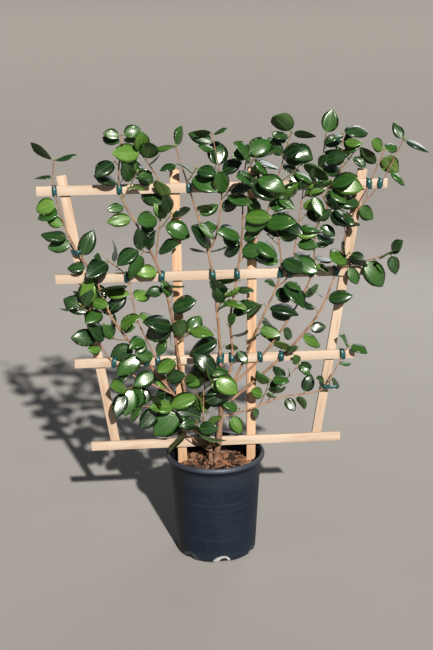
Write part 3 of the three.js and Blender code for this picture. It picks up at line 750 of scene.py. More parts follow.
spurs = []
room.update({key: fineRule[key] for key in ("leafHalfDepth", "sameMass", "leafToLeaf")})
for stem in stems.values():
    if "seed" in stem:
        growFiner(stem)
print("finer growth:", len(plant.leaves), "leaves,", len(spurs), "spurs")


# One ring of points about a middle
def ringAt(middle, across, other, angles, reach):
    return middle + np.outer(reach * np.cos(angles), across) + np.outer(reach * np.sin(angles), other)


# Rings of points round a line, each turned along it
def ringsAlong(line, stops, radius, sides, level=False):
    across = right.copy()
    rings = []
    for s in stops:
        place, heading = line.spot(s)
        ahead = line.spot(min(s + 3, line.total))[1]
        axis = up if level and s == stops[0] else unit(heading + ahead)
        across = unit(across - axis * float(across @ axis))
        other = cross(axis, across)
        angles = 2 * np.pi * np.arange(sides) / sides
        rings.append(ringAt(place, across, other, angles, radius(s, angles)))
    return rings


# A skin over rings of the same number of points, with or without a cap at each end
def skinFaces(count, sides, caps=True):
    faces = []
    for low in range(0, (count - 1) * sides, sides):
        for k in range(sides):
            after = (k + 1) % sides
            faces.append((low + k, low + after, low + sides + after, low + sides + k))
    if caps:
        faces += [tuple(range(sides))[::-1], tuple(range((count - 1) * sides, count * sides))]
    return faces


# The radius of a round shoot or stalk that tapers evenly from its foot
def tapering(size, foot, taper, total):
    return lambda s, angles: np.full(len(angles), size * (foot - taper * s / total))


# Smooth curve through the same knots as a stem's line, with more points for its bark
def fineLine(line, steps=14):
    return Line(line.knots, steps)


bark = {
    "step": 3.5, "trunkSides": 30, "boughSides": 18, "twigSides": 10,
    "flareSwell": 0.3, "flareRidge": 0.12, "flareRidges": 3, "flareFade": 10,
    "ridge": 0.035, "waves": (2, 3, 5, 7), "drift": (0.01, 0.05), "waveSize": (0.4, 1),
    "rings": 3, "ringLength": (20, 70), "ringSize": (0.3, 1), "ringSwell": 0.02,
    "bead": 0.16, "beadLength": 2.6, "beadEvery": 90, "beadShares": (0.1, 0.95),
    "boughOverlap": 6, "twigOverlap": 2,
}
shoots = {"twigRadius": 1.4, "spurRadius": 0.95, "steps": 8, "step": 5, "sides": 7, "foot": 1.15,
          "taper": 0.35}


# A stem's radius with its ridges, swollen rings and joints, and its flare at the soil
def barkRadius(stem, line, joints, dice):
    waves = []
    for k in bark["waves"]:
        phase, drift = dice(0, turnRound), dice(*bark["drift"])
        drift *= 1 if dice() < 0.5 else -1
        waves.append((k, phase, drift, dice(*bark["waveSize"])))
    rings = [(dice(0, turnRound), dice(*bark["ringLength"]), dice(*bark["ringSize"]))
             for _ in range(bark["rings"])]
    rooted = "from" not in stem

    def radius(s, angles):
        base = mix(*stem["radii"], min(s / line.total, 1))
        shape = np.ones(len(angles))
        for k, phase, drift, size in waves:
            shape += bark["ridge"] * size * np.sin(k * angles + phase + drift * s)
        for phase, length, size in rings:
            shape += bark["ringSwell"] * size * math.sin(phase + s / length * turnRound)
        for joint in joints:
            shape += bark["bead"] * math.exp(-((s - joint) / bark["beadLength"]) ** 2)
        if rooted:
            spread = bark["flareSwell"] + bark["flareRidge"] * np.cos(bark["flareRidges"] * angles)
            shape += spread * math.exp(-s / bark["flareFade"])
        return base * shape
    return radius


# The trunk and the boughs as far as they are bare, and the stems and twigs inside the foliage
def makeStems():
    boughs, twigs = Gather(), Gather()
    for order, (name, stem) in enumerate(stems.items()):
        line = fineLine(stem["line"])
        dice = diceFor(seedRule["bark"] + order)
        rooted = "from" not in stem
        sides = bark["trunkSides"] if rooted else bark["boughSides"]
        beads = [dice(*bark["beadShares"]) * line.total for _ in range(int(line.total / bark["beadEvery"]))]
        radius = barkRadius(stem, line, beads + stem.get("joints", []), dice)
        bare = rooted or "bareTo" in stem
        if bare:
            end = line.total if rooted else line.atHeight(stem["bareTo"]) + bark["boughOverlap"]
            stops = np.linspace(0, end, int(end / bark["step"]) + 2)
            rings = ringsAlong(line, stops, radius, sides, rooted)
            boughs.add(np.vstack(rings), skinFaces(len(rings), sides), 0 if rooted else 1)
        if not rooted:
            start = line.atHeight(stem["bareTo"]) - bark["twigOverlap"] if bare else 0
            stops = np.linspace(start, line.total, int((line.total - start) / bark["step"]) + 2)
            sides = bark["twigSides"]
            rings = ringsAlong(line, stops, radius, sides)
            twigs.add(np.vstack(rings), skinFaces(len(rings), sides), 0)
    thin = [(twig, shoots["twigRadius"]) for stem in stems.values() for twig in stem.get("twigs", [])]
    thin += [(spur, shoots["spurRadius"]) for spur in spurs]
    for line, size in thin:
        smooth = fineLine(line, shoots["steps"])
        stops = np.linspace(0, smooth.total, int(smooth.total / shoots["step"]) + 3)
        radius = tapering(size, shoots["foot"], shoots["taper"], smooth.total)
        rings = ringsAlong(smooth, stops, radius, shoots["sides"])
        twigs.add(np.vstack(rings), skinFaces(len(rings), shoots["sides"]), 1)
    return boughs, twigs


def barkFinish(name, low, high, crack, grain):
    finish = Finish(name, Roughness=0.8)
    place = finish.place()
    long = finish.turned(place, scale=(grain, grain, grain * 0.22))
    coarse = finish.noise(place, 45, 3)
    fine = finish.noise(long, 9, 5, 0.65)
    specks = finish.noise(place, 420, 2)
    colour = finish.mix(coarse.ramp(0.3, 0.7), low, high)
    colour = finish.mix(fine.ramp(0.52, 0.7) * 0.55, colour, crack)
    relief = finish.bump(fine * 0.6 + specks * 0.25, 0.55, 0.0012)
    return finish.show(Base_Color=colour, Roughness=0.72 + fine * 0.2, Normal=relief)


barkOld = barkFinish("bark_grey_tan", (0.18, 0.108, 0.07), (0.295, 0.188, 0.128), (0.05, 0.03, 0.02), 60)
barkMid = barkFinish("bark_tan", (0.205, 0.118, 0.076), (0.335, 0.21, 0.14), (0.06, 0.033, 0.021), 80)
barkYoung = barkFinish("bark_pink_brown", (0.19, 0.105, 0.066), (0.37, 0.228, 0.15),
                       (0.075, 0.039, 0.023), 110)
barkGreen = barkFinish("shoot_bark", (0.115, 0.094, 0.036), (0.202, 0.137, 0.065), (0.086, 0.05, 0.0216), 130)

boughs, twigs = makeStems()
limbs = boughs.build("trunk_and_boughs", [barkOld, barkMid])
fineStems = twigs.build("twigs", [barkYoung, barkGreen])
hand(limbs, "bark", "trunk", "leaning_stem", *(name for name in nodes if name.startswith("bough_")))
hand(fineStems, "bark")
print("stems made")


# Leaves: a thin closed blade of strips with its own midrib, and a short stalk
leafLook = {
    "shares": (0.03, 0.11, 0.23, 0.38, 0.55, 0.72, 0.86, 0.955),
    "topStrips": (-1, -0.55, -0.035, 0.035, 0.55, 1), "underStrips": (-0.55, 0, 0.55),
    "thickness": 0.55, "underRib": 2.1, "ribWidth": 1.05, "ribFoot": 1.15, "ribTaper": 0.75, "ribSink": 0.15,
    "skew": 0.82, "fullness": 0.56, "wider": (1.05, 1.3), "longer": (0.82, 1.1),
    "tipDraw": 0.4, "tipFrom": 0.72, "tipFade": 1.3,
    "twist": 0.4, "sweep": 0.06, "wave": (0.3, 1.2), "ripples": 9, "rippleShift": 1.7,
    "cup": (0.8, 1.7), "curl": 0.6, "cupFoot": 0.25,
    "shrink": 0.95, "hangChance": 0.6, "hang": (0.05, 0.3), "flat": (0, 0.08), "turnToLight": 0.65,
    "shineChance": 0.5, "mostRoll": 0.45, "shineCurl": 0.6,
    "stalkRadius": 1.05, "stalkSides": 5, "stalkSag": 0.8, "stalkFoot": 1.2, "stalkTaper": 0.4,
    "stalkGrown": 60, "stalkEnd": 0.04,
    "tones": ("deep", "dark", "mid", "fresh", "lime"),
}
tones = leafLook["tones"]
finishOrder = [*tones, "under", "underLime", "rib", "ribLime", "stalk"]


def bladeFaces():
    shares, tops, unders = leafLook["shares"], leafLook["topStrips"], leafLook["underStrips"]
    ring = len(tops) + len(unders)
    order = [*range(len(tops)), *range(ring - 1, len(tops) - 1, -1)]
    faces, kinds = [], []
    for k in range(ring):
        a, b = order[k], order[(k + 1) % ring]
        kind = "rib" if (a, b) == (2, 3) else "top" if a < len(tops) and b < len(tops) else "under"
        for i in range(len(shares) - 1):
            faces.append((i * ring + b, i * ring + a, (i + 1) * ring + a, (i + 1) * ring + b))
            kinds.append(kind)
        last = (len(shares) - 1) * ring
        foot, tip = len(shares) * ring, len(shares) * ring + 1
        faces += [(a, b, foot), (last + b, last + a, tip)]
        kinds += [kind, kind]
    return faces, kinds


bladeSkin, bladeKinds = bladeFaces()
shineWay = unit(np.array((0.1, -0.93, 0.36)))  # half-way between the sun and the eye
partBox = np.array(cadBox) / mm + np.array(((0.3,), (-0.3,)))  # leaves keep inside the part's own box


def addLeaf(gather, leaf):
    dice = diceFor(leaf["seed"] + seedRule["bend"])
    base, aim, across, face = leaf["base"], leaf["aim"], leaf["across"], leaf["face"]
    look = leafLook
    size = diceFor(leaf["seed"] + seedRule["size"])
    length = leaf["length"] * size(*look["longer"])
    half = leaf["width"] * length / leaf["length"] * size(*look["wider"]) / 2
    twist = dice(-look["twist"], look["twist"])
    sweep = dice(-look["sweep"], look["sweep"])
    wave, phase = dice(*look["wave"]), dice(0, turnRound)
    cup = leaf["fold"] * dice(*look["cup"])
    curl = dice(0, look["curl"])
    hang = dice(*look["hang"]) if dice() < look["hangChance"] else dice(*look["flat"])
    if face[1] > 0 and dice() < look["turnToLight"]:
        face, across = -face, -across
    roll = math.atan2(-float(shineWay @ across), float(shineWay @ face))
    if abs(roll) < look["mostRoll"] and size() < look["shineChance"]:
        twist = roll * 2
        curl *= look["shineCurl"]

    def middleAt(share):
        drop = (leaf["arch"] * share + hang * share ** 3) * length * share
        return base + aim * (share * length) - face * drop + across * (sweep * length * share * share)
    points, places = [], []
    for share in look["shares"]:
        middle = middleAt(share)
        full = math.sin(math.pi * share ** look["skew"]) ** look["fullness"]
        drawn = max(0, (share - look["tipFrom"]) / (1 - look["tipFrom"])) ** look["tipFade"]
        reach = half * full * (1 - look["tipDraw"] * drawn)
        angle = twist * share
        side = across * math.cos(angle) + face * math.sin(angle)
        rise = face * math.cos(angle) - across * math.sin(angle)

        def spot(v, lower):
            edge = abs(v)
            lift = (cup * edge - curl * edge * edge) * reach * min(1, look["cupFoot"] + share)
            shift = look["rippleShift"] if v > 0 else 0
            ripple = wave * edge ** 2 * math.sin(phase + share * look["ripples"] + shift)
            return middle + side * (v * reach) + rise * (lift + ripple - lower * look["thickness"])
        ribHalf = look["ribWidth"] / 2 * (look["ribFoot"] - look["ribTaper"] * share)
        for v in look["topStrips"]:
            ribEdge = middle + side * math.copysign(ribHalf, v) - rise * look["ribSink"]
            points.append(ribEdge if abs(v) < 0.1 else spot(v, 0))
        for v in look["underStrips"]:
            points.append(spot(v, 1 if v else look["underRib"]))
        places += [(0.5 + v / 2, share) for v in (*look["topStrips"], *look["underStrips"])]
    points = np.array([*points, middleAt(0), middleAt(1)])
    places += [(0.5, 0), (0.5, 1)]
    while np.any(points.max(0) > partBox[1]) or np.any(points.min(0) < partBox[0]):
        points = base + (points - base) * look["shrink"]
    tone = leaf["tone"]
    limeish = tone in ("lime", "fresh")
    slots = {"top": tones.index(tone), "rib": finishOrder.index("ribLime" if limeish else "rib"),
             "under": finishOrder.index("underLime" if limeish else "under")}
    gather.add(points, bladeSkin, [slots[kind] for kind in bladeKinds], places)
    addStalk(gather, leaf, middleAt(look["stalkEnd"]))


# The stalk leaves the twig's own skin and runs into the foot of the blade
def addStalk(gather, leaf, end):
    root = leaf["root"]
    middle = (root + leaf["base"]) / 2 - leaf["face"] * leafLook["stalkSag"]
    line = Line([root, middle, end], 3)
    sides = leafLook["stalkSides"]
    size = leafLook["stalkRadius"] * min(1, leaf["length"] / leafLook["stalkGrown"])
    stops = [0, line.total * 0.5, line.total]
    radius = tapering(size, leafLook["stalkFoot"], leafLook["stalkTaper"], line.total)
    rings = ringsAlong(line, stops, radius, sides)
    gather.add(np.vstack(rings), skinFaces(3, sides), finishOrder.index("stalk"))


# Each spray has its own leaning towards dark or fresh leaves, and tips are the youngest
toneRule = {"grown": (0.26, 0.6, 0.87, 0.97), "tip": (0.15, 0.42, 0.76, 0.93),
            "young": (0.2, 0.48, 0.78, 0.93), "sprayLean": (-0.1, 0.1)}


def dealTones(leaves):
    for leaf in leaves:
        spray = sum(map(ord, leaf["mass"])) + leaf["seed"] // seedRule["stem"]
        roll = diceFor(leaf["seed"] + seedRule["tone"])() + diceFor(spray)(*toneRule["sprayLean"])
        leaf["tone"] = tones[sum(roll > step for step in toneRule[leaf["kind"]])]


# Side veins: pairs along the blade, their slant, a whole turn and how narrow they are
veinRule = {"pairs": 9, "slant": 2.6, "turn": 6.2832, "sharpness": 6}


# A leaf's skin: its colour with paler patches and veins, and a drawn rib where ribColour is given
def leafFinish(name, colour, paler, rough, coat, veins=0.3, ribColour=None):
    finish = Finish(f"leaf_{name}", Roughness=rough, Coat_Roughness=0.19)
    place = finish.place()
    surface = finish.add("ShaderNodeUVMap", {"uv_map": "surface"})
    u, v, _ = finish.parts(surface)
    fromRib = abs(u - 0.5) * 2
    slope = (v * veinRule["pairs"] - fromRib * veinRule["slant"]) * veinRule["turn"]
    vein = (slope.sum("SINE", slope) * 0.5 + 0.5) ** veinRule["sharpness"]
    patches = finish.noise(place, 38, 3)
    pores = finish.noise(place, 650, 2)
    tint = finish.mix(patches.ramp(0.35, 0.7) * 0.5 + vein * 0.1, colour, paler)
    height = vein * -0.5 + pores * 0.12 + patches * 0.5
    if ribColour:
        rib = 1 - fromRib.ramp(0.03, 0.11)
        tint = finish.mix(rib * 0.8 + vein * 0.15, tint, ribColour)
        height = height + rib
    return finish.show(Base_Color=tint, Roughness=rough + patches * 0.14, Coat_Weight=coat,
                       Normal=finish.bump(height, veins, 0.0008))


leafFinishes = {
    "deep": leafFinish("deep", (0.0094, 0.029, 0.0098), (0.0151, 0.0443, 0.0149), 0.24, 0.75),
    "dark": leafFinish("dark", (0.0158, 0.05, 0.0141), (0.0259, 0.0702, 0.02), 0.24, 0.75),
    "mid": leafFinish("mid", (0.0288, 0.0864, 0.0176), (0.0418, 0.1105, 0.025), 0.26, 0.65),
    "fresh": leafFinish("fresh", (0.0605, 0.14, 0.0225), (0.083, 0.172, 0.031), 0.3, 0.5),
    # lime: the paler green of young leaves, which also stands in for sunlight shining through leaves, partly
    # a painted glow; under_lime and rib_lime go with it
    "lime": leafFinish("lime", (0.085, 0.178, 0.028), (0.118, 0.215, 0.04), 0.36, 0.3),
    "under": leafFinish("under", (0.0432, 0.086, 0.0259), (0.063, 0.112, 0.0374), 0.5, 0.1, 0.8,
                        (0.108, 0.166, 0.058)),
    "underLime": leafFinish("under_lime", (0.088, 0.152, 0.033), (0.122, 0.19, 0.047), 0.5, 0.1, 0.8,
                            (0.18, 0.25, 0.09)),
    "rib": leafFinish("rib", (0.079, 0.158, 0.0324), (0.108, 0.194, 0.0432), 0.35, 0.4, 0.2),
    "ribLime": leafFinish("rib_lime", (0.202, 0.302, 0.072), (0.245, 0.338, 0.101), 0.4, 0.25, 0.2),
    "stalk": leafFinish("stalk", (0.094, 0.115, 0.0324), (0.144, 0.144, 0.0468), 0.45, 0.2, 0.2),
}
dealTones(plant.leaves)
leafMesh = Gather()
for leaf in plant.leaves:
    addLeaf(leafMesh, leaf)
foliage = leafMesh.build("leaves", [leafFinishes[name] for name in finishOrder])
hand(foliage, "foliage", *(name for name in nodes if name.startswith("foliage_")))
print("leaves made")

# Buds: small pointed ones where leaf stalks leave, and fatter flower buds at shoot tips
budLook = {"sideChance": 0.45, "sideSize": (3.6, 6), "tipSize": (8, 12), "rings": (0.15, 0.4, 0.7, 0.9),
           "swell": (0.7, 1, 0.72, 0.34), "sides": 7, "slim": 0.3, "sunk": 0.5, "off": 1.2,
           "highest": 1190, "paleChance": 0.6}


def addBud(gather, foot, aim, length, slot):
    across = unit(cross(aim, back if abs(aim[1]) < 0.9 else right))
    other = cross(aim, across)
    sides = budLook["sides"]
    angles = 2 * np.pi * np.arange(sides) / sides
    points = [foot - aim * budLook["sunk"]]
    for share, swell in zip(budLook["rings"], budLook["swell"]):
        reach = length * budLook["slim"] * swell
        points += list(ringAt(foot + aim * (length * share), across, other, angles, reach))
    points.append(foot + aim * length)
    count = len(budLook["rings"])
    faces = [(0, 1 + (k + 1) % sides, 1 + k) for k in range(sides)]
    faces += [tuple(1 + i for i in face) for face in skinFaces(count, sides, False)]
    last = 1 + (count - 1) * sides
    faces += [(last + k, last + (k + 1) % sides, len(points) - 1) for k in range(sides)]
    gather.add(points, faces, slot)


def makeBuds():
    buds = Gather()
    for leaf in plant.leaves:
        dice = diceFor(leaf["seed"] + seedRule["bud"])
        if dice() < budLook["sideChance"]:
            aim = unit(leaf["aim"] * 0.5 + up * 0.7 + leaf["face"] * 0.5)
            addBud(buds, leaf["root"] + aim * budLook["off"], aim, dice(*budLook["sideSize"]), 0)
    for stem in stems.values():
        if "seed" not in stem:
            continue
        dice = diceFor(stem["seed"] + seedRule["tipBud"])
        for line in [stem["line"], *stem["twigs"]]:
            tip, heading = line.spot(line.total)
            if tip[2] < budLook["highest"]:
                size = dice(*budLook["tipSize"])
                slot = 1 if dice() < budLook["paleChance"] else 0
                addBud(buds, tip - heading * budLook["sunk"], heading, size, slot)
    return buds.build("buds", [budGreen, budPale])


def budFinish(name, low, high):
    finish = Finish(name, Roughness=0.4)
    place = finish.place()
    scales = finish.cells(place, 420)
    colour = finish.mix(finish.noise(place, 160, 2).ramp(0.35, 0.65), low, high)
    relief = finish.bump(scales, 0.35, 0.0006)
    return finish.show(Base_Color=colour, Roughness=0.35 + scales * 0.2, Normal=relief)


budGreen = budFinish("bud_green", (0.115, 0.144, 0.036), (0.194, 0.194, 0.058))
budPale = budFinish("bud_pale", (0.216, 0.259, 0.086), (0.302, 0.324, 0.144))
hand(makeBuds(), "foliage")
print("buds made")


# The pot: a disc drawn up and out into the wall, over the rolled rim and down inside
pot = {
    "sides": 96, "start": 108, "base": 115, "crease": 32,
    "outside": ((109.5, 0.9), (113, 3), (114.8, 6), (115.3, 10), (121, 110), (126.5, 210), (129.3, 262),
                (130.2, 279), (131.2, 281.4), (131.4, 283.2), (130.8, 284.8), (133, 286.2), (137.5, 286.6),
                (140.6, 288), (141.8, 290.4), (142, 293.6), (141.5, 297), (139.8, 299.6), (137, 300.9),
                (134.4, 301), (132.8, 300.2), (132, 298.4)),
    "inside": ((131.2, 292), (128.4, 282), (126.6, 250), (120, 140), (113.2, 14), (110.5, 6), (107, 4)),
}
drain = {"count": 7, "turn": 6, "width": 29, "height": 16, "depth": 22, "proud": 4, "sides": 40,
         "leftRub": 35, "rightRub": 22, "highRub": 24}


def makePot():
    piece = addDisc("pot_shell", pot["start"] * mm, pot["sides"], 0)
    drawUp(pot["start"], 0, (*pot["outside"], *pot["inside"]))
    bpy.ops.object.mode_set(mode="OBJECT")
    settle(piece)
    faceOutwards(piece)
    for i in range(drain["count"]):
        cutDrain(piece, math.radians(drain["turn"] - 90 + 360 / drain["count"] * i))
    smoothBelow(piece, pot["crease"])
    return piece


def cutDrain(piece, turn):
    deselect()
    middle = (pot["base"] - drain["depth"] / 2 + drain["proud"]) * mm
    place = (math.cos(turn) * middle, math.sin(turn) * middle, 0)
    size = (drain["width"] / 2 * mm, drain["height"] * mm, drain["depth"] * mm)
    bpy.ops.mesh.primitive_cylinder_add(vertices=drain["sides"], radius=1, depth=1, location=place,
                                        rotation=(math.pi / 2, 0, turn + math.pi / 2), scale=size)
    cutter = newest("drain_cutter")
    settle(cutter)
    applyModifier(piece, "BOOLEAN", operation="DIFFERENCE", object=cutter, solver="EXACT")
    bpy.data.objects.remove(cutter)


def potFinish():
    finish = Finish("pot_plastic", Roughness=0.45, Specular_IOR_Level=0.3)
    place = finish.place()
    x, y, z = finish.parts(place)
    angle = y.sum("ARCTAN2", y, x)
    step = 2 * math.pi / drain["count"]
    turn = math.radians(drain["turn"] - 90)
    around = angle - turn + 20 * step
    local = around.sum("PINGPONG", around, step / 2)
    leftward = 1 - x.ramp(0.008, 0.016)
    sideways = local * pot["base"] / (drain["rightRub"] + leftward * (drain["leftRub"] - drain["rightRub"]))
    upwards = z * (1000 / drain["highRub"])
    scratch = finish.noise(place, 130, 4, 0.7)
    facing = 0.12 + (y * -1).ramp(0.1, 0.112) * 0.88
    skin = ((x * x + y * y) ** 0.5).ramp(0.1118, 0.113)
    rub = (sideways ** 2 + upwards ** 2) ** 0.5 + (scratch - 0.5) * 0.3
    lip = (1 - rub.ramp(0.84, 1.0)) * (0.55 + scratch.ramp(0.4, 0.56) * 0.45) * facing * skin
    dust = finish.noise(place, 11, 4)
    hoops = finish.noise(finish.turned(place, scale=(2, 2, 90)), 2.4, 3, 0.6)
    scuffs = finish.noise(finish.turned(place, scale=(60, 60, 14)), 2.6, 3, 0.6)
    # The rim band: painted paler on the rim, as its greyer tone together with a painted sheen that is
    # strongest at the front middle
    rimPaleAndSheen = z.ramp(0.287, 0.297)
    # Painted shadow: a dark band on the wall just under the rim's overhang
    shadowUnderRim = z.ramp(0.268, 0.28) * (1 - z.ramp(0.285, 0.288))
    footBand = 1 - z.ramp(0.004, 0.05)
    # Painted shade and reflection: the left side, away from the sun, painted darker and browner, as if
    # reflecting the ground
    shadedLeftSide = (x * -1).ramp(0.06, 0.125) * (1 - rimPaleAndSheen)
    ends = z.ramp(0.205, 0.262) + (1 - z.ramp(0.006, 0.045))
    colour = finish.mix(dust.ramp(0.35, 0.7) * 0.6, (0.0092, 0.016, 0.031), (0.0128, 0.021, 0.039))
    colour = finish.mix(ends * (0.3 + scuffs * 0.5), colour, (0.024, 0.031, 0.043))
    worn = hoops.ramp(0.5, 0.7) * 0.35 + scuffs.ramp(0.55, 0.75) * 0.4
    colour = finish.mix(worn, colour, (0.034, 0.042, 0.05))
    # Painted shadow under the rim
    colour = finish.mix(shadowUnderRim * 0.75, colour, (0.003, 0.0045, 0.007))
    # Left side darkened and warmed by painted shade and a painted ground reflection; the foot darkened by
    # dust with the same colour
    colour = finish.mix(shadedLeftSide * 0.65 + footBand * dust * 0.3, colour, (0.0075, 0.0068, 0.0066))
    # Rim painted paler, most at the front middle: the rim's greyer tone and a painted sheen
    colour = finish.mix(rimPaleAndSheen * (0.75 - abs(x).ramp(0.025, 0.08) * 0.45), colour, (0.1, 0.114, 0.144))
    colour = finish.mix(lip * 0.95, colour, (0.42, 0.43, 0.445))
    grain = finish.noise(place, 900, 2)
    rough = 0.42 + dust * 0.16 + lip * 0.3 - rimPaleAndSheen * 0.14
    height = grain * 0.4 + scratch * 0.3 + hoops * 0.5
    return finish.show(Base_Color=colour, Roughness=rough, Normal=finish.bump(height, 0.3, 0.0005))


potPiece = makePot()
potPiece.data.materials.clear()
potPiece.data.materials.append(potFinish())
hand(potPiece, "pot_plastic", "pot")
print("pot made")

# The potting mix: a filled body with a rough mound, and chips of bark lying over it
soil = {"foot": 5, "edge": 252, "middle": 261, "radius": 127, "footRadius": 111, "clear": 1.2,
        "sides": 72, "rings": 26, "ringStep": 4.6, "crumb": (-0.9, 0.9)}
chipRule = {"count": 360, "length": (12, 42), "slim": (0.4, 0.85), "thickness": (3, 9), "sides": 7,
            "reach": 122, "pile": (0.5, 6.5), "small": 0.5, "tiltX": (-0.5, 0.5), "tiltY": (-0.45, 0.45),
            "uneven": (-0.3, 0.3), "rim": (0.75, 1.1), "top": 0.86, "topRough": (-0.6, 0.6),
            "lowRough": (-0.5, 0.5)}


# The mound's height with lumps of three sizes, from waves across it
def moundHeight(x, y):
    r = min(math.hypot(x, y) / soil["radius"], 1)
    lumps = (2.2 * math.sin(x * 0.11 + 1) * math.cos(y * 0.09 + 2) + 1.6 * math.sin(x * 0.23 + y * 0.19)
             + 1.1 * math.cos(x * 0.41 - y * 0.37 + 3))
    return mix(soil["middle"], soil["edge"], r ** 1.6) + lumps * (1 - r ** 6)


def makeMound():
    piece = addDisc("potting_mound", soil["footRadius"] * mm, soil["sides"], soil["foot"] * mm)
    drawUp(soil["footRadius"], soil["foot"], [(soil["radius"] - soil["clear"], soil["edge"])])
    for _ in range(soil["rings"]):
        bpy.ops.mesh.inset(thickness=soil["ringStep"] * mm, depth=0)
    bpy.ops.object.mode_set(mode="OBJECT")
    settle(piece)
    dice = diceFor(seedRule["mound"])
    for vertex in piece.data.vertices:
        x, y, z = (c / mm for c in vertex.co)
        if z > soil["edge"] - 1:
            vertex.co.z = (moundHeight(x, y) + dice(*soil["crumb"])) * mm
    faceOutwards(piece)
    return piece


def makeChips():
    chips = Gather()
    dice = diceFor(seedRule["chips"])
    sides = chipRule["sides"]
    for i in range(chipRule["count"]):
        r, a = chipRule["reach"] * dice() ** 0.5, dice(0, 2 * math.pi)
        x, y = r * math.cos(a), r * math.sin(a)
        length = dice(*chipRule["length"]) * (chipRule["small"] if i % 3 else 1)
        half = length / 2
        if math.hypot(x, y) + half > chipRule["reach"] + 2:
            continue
        slim, thick = dice(*chipRule["slim"]), dice(*chipRule["thickness"])
        pile = dice(*chipRule["pile"])
        turn, tiltX, tiltY = dice(0, turnRound), dice(*chipRule["tiltX"]), dice(*chipRule["tiltY"])
        facing = Matrix.Rotation(turn, 3, "Z") @ Matrix.Rotation(tiltX, 3, "X")
        facing = np.array(facing @ Matrix.Rotation(tiltY, 3, "Y"))
        shifts = np.array([dice(*chipRule["uneven"]) for _ in range(sides)])
        angles = 2 * np.pi * (np.arange(sides) + shifts) / sides
        reach = np.array([dice(*chipRule["rim"]) for _ in range(sides)])
        rim = np.stack([np.cos(angles) * reach * half, np.sin(angles) * reach * half * slim], 1)
        tops = [thick / 2 + dice(*chipRule["topRough"]) for _ in range(sides)]
        lows = [-thick / 2 + dice(*chipRule["lowRough"]) for _ in range(sides)]
        top, low = np.column_stack([rim * chipRule["top"], tops]), np.column_stack([rim, lows])
        points = np.vstack([low, top]) @ facing.T + np.array((x, y, moundHeight(x, y) + pile))
        if np.max(np.hypot(points[:, 0], points[:, 1])) > chipRule["reach"] + 3:
            continue
        chips.add(points, skinFaces(2, sides), int(dice(0, 4)))
    return chips


def chipFinish(name, low, high):
    finish = Finish(name, Roughness=0.85)
    place = finish.place()
    fibres = finish.noise(finish.turned(place, rotation=(0.4, 0.2, 0.7), scale=(260, 70, 260)), 2, 4, 0.65)
    patches = finish.noise(place, 90, 3)
    colour = finish.mix(fibres.ramp(0.35, 0.65) * 0.7 + patches * 0.3, low, high)
    relief = finish.bump(fibres, 0.7, 0.0012)
    return finish.show(Base_Color=colour, Roughness=0.75 + fibres * 0.2, Normal=relief)


def soilFinish():
    finish = Finish("potting_soil", Roughness=0.95)
    place = finish.place()
    crumbs = finish.cells(place, 260)
    patches = finish.noise(place, 60, 5, 0.65)
    colour = finish.mix(patches.ramp(0.35, 0.7), (0.0086, 0.0058, 0.0043), (0.0432, 0.0259, 0.0158))
    colour = finish.mix((1 - crumbs.ramp(0.15, 0.4)) * 0.35, colour, (0.079, 0.0468, 0.0252))
    return finish.show(Base_Color=colour, Normal=finish.bump(crumbs * 0.6 + patches, 0.9, 0.003))


mound = makeMound()
mound.data.materials.append(soilFinish())
hand(mound, "bark_mix", "potting_mix")
chipFinishes = [chipFinish("bark_chip_orange", (0.16, 0.066, 0.034), (0.32, 0.155, 0.086)),
                chipFinish("bark_chip_tan", (0.13, 0.072, 0.042), (0.25, 0.15, 0.094)),
                chipFinish("bark_chip_brown", (0.065, 0.0288, 0.0173), (0.13, 0.061, 0.036)),
                chipFinish("bark_chip_dark", (0.013, 0.0079, 0.0058), (0.0396, 0.023, 0.0158))]
chipPiece = makeChips().build("bark_chips", chipFinishes, smooth=False)
hand(chipPiece, "bark_mix")
print("potting mix made")


# The trellis: planed laths with eased edges
def makeLath(name, place, size, lean=0.0):
    deselect()
    bpy.ops.mesh.primitive_cube_add(size=1, location=[c * mm for c in place], rotation=(0, lean, 0),
                                    scale=[s * mm for s in size])
    piece = newest(f"lath_{name}")
    settle(piece)
    applyModifier(piece, "BEVEL", width=lath["ease"] * mm, segments=2, limit_method="ANGLE")
    smoothBelow(piece, lath["crease"])
    return piece


# Grain runs along the lath: the pattern is turned with it and drawn out along its length
def lathFinish(name, place, lean, alongX, tones, knots):
    finish = Finish(f"pine_{name}", Roughness=0.7)
    turn = (0, 0, 0) if alongX else (0, -lean, 0)
    spot = finish.turned(finish.place(), location=tuple(-c * mm * 0.37 for c in place), rotation=turn)
    stretch = (3, 55, 42) if alongX else (42, 55, 3)
    fine = finish.turned(spot, scale=tuple(6 * s for s in stretch))
    rings = finish.noise(finish.turned(spot, scale=stretch), 1.6, 4, 0.55)
    fibres = finish.noise(fine, 1.5, 4, 0.7)
    stains = finish.noise(spot, 5.5, 3)
    low, high, ring = tones
    colour = finish.mix(stains.ramp(0.3, 0.75), low, high)
    colour = finish.mix(rings.ramp(0.5, 0.62) * 0.55, colour, ring)
    colour = finish.mix(fibres.ramp(0.55, 0.75) * 0.3, colour, ring)
    knotPlace = finish.turned(spot, scale=(4.5, 0.6, 16) if alongX else (16, 0.6, 4.5))
    knot = 1 - finish.cells(knotPlace, knots).ramp(0.05, 0.17)
    colour = finish.mix(knot * 0.75, colour, (0.216, 0.094, 0.036))
    relief = finish.bump(fibres * 0.7 + rings * 0.3, 0.4, 0.0006)
    return finish.show(Base_Color=colour, Roughness=0.62 + fibres * 0.2, Normal=relief)


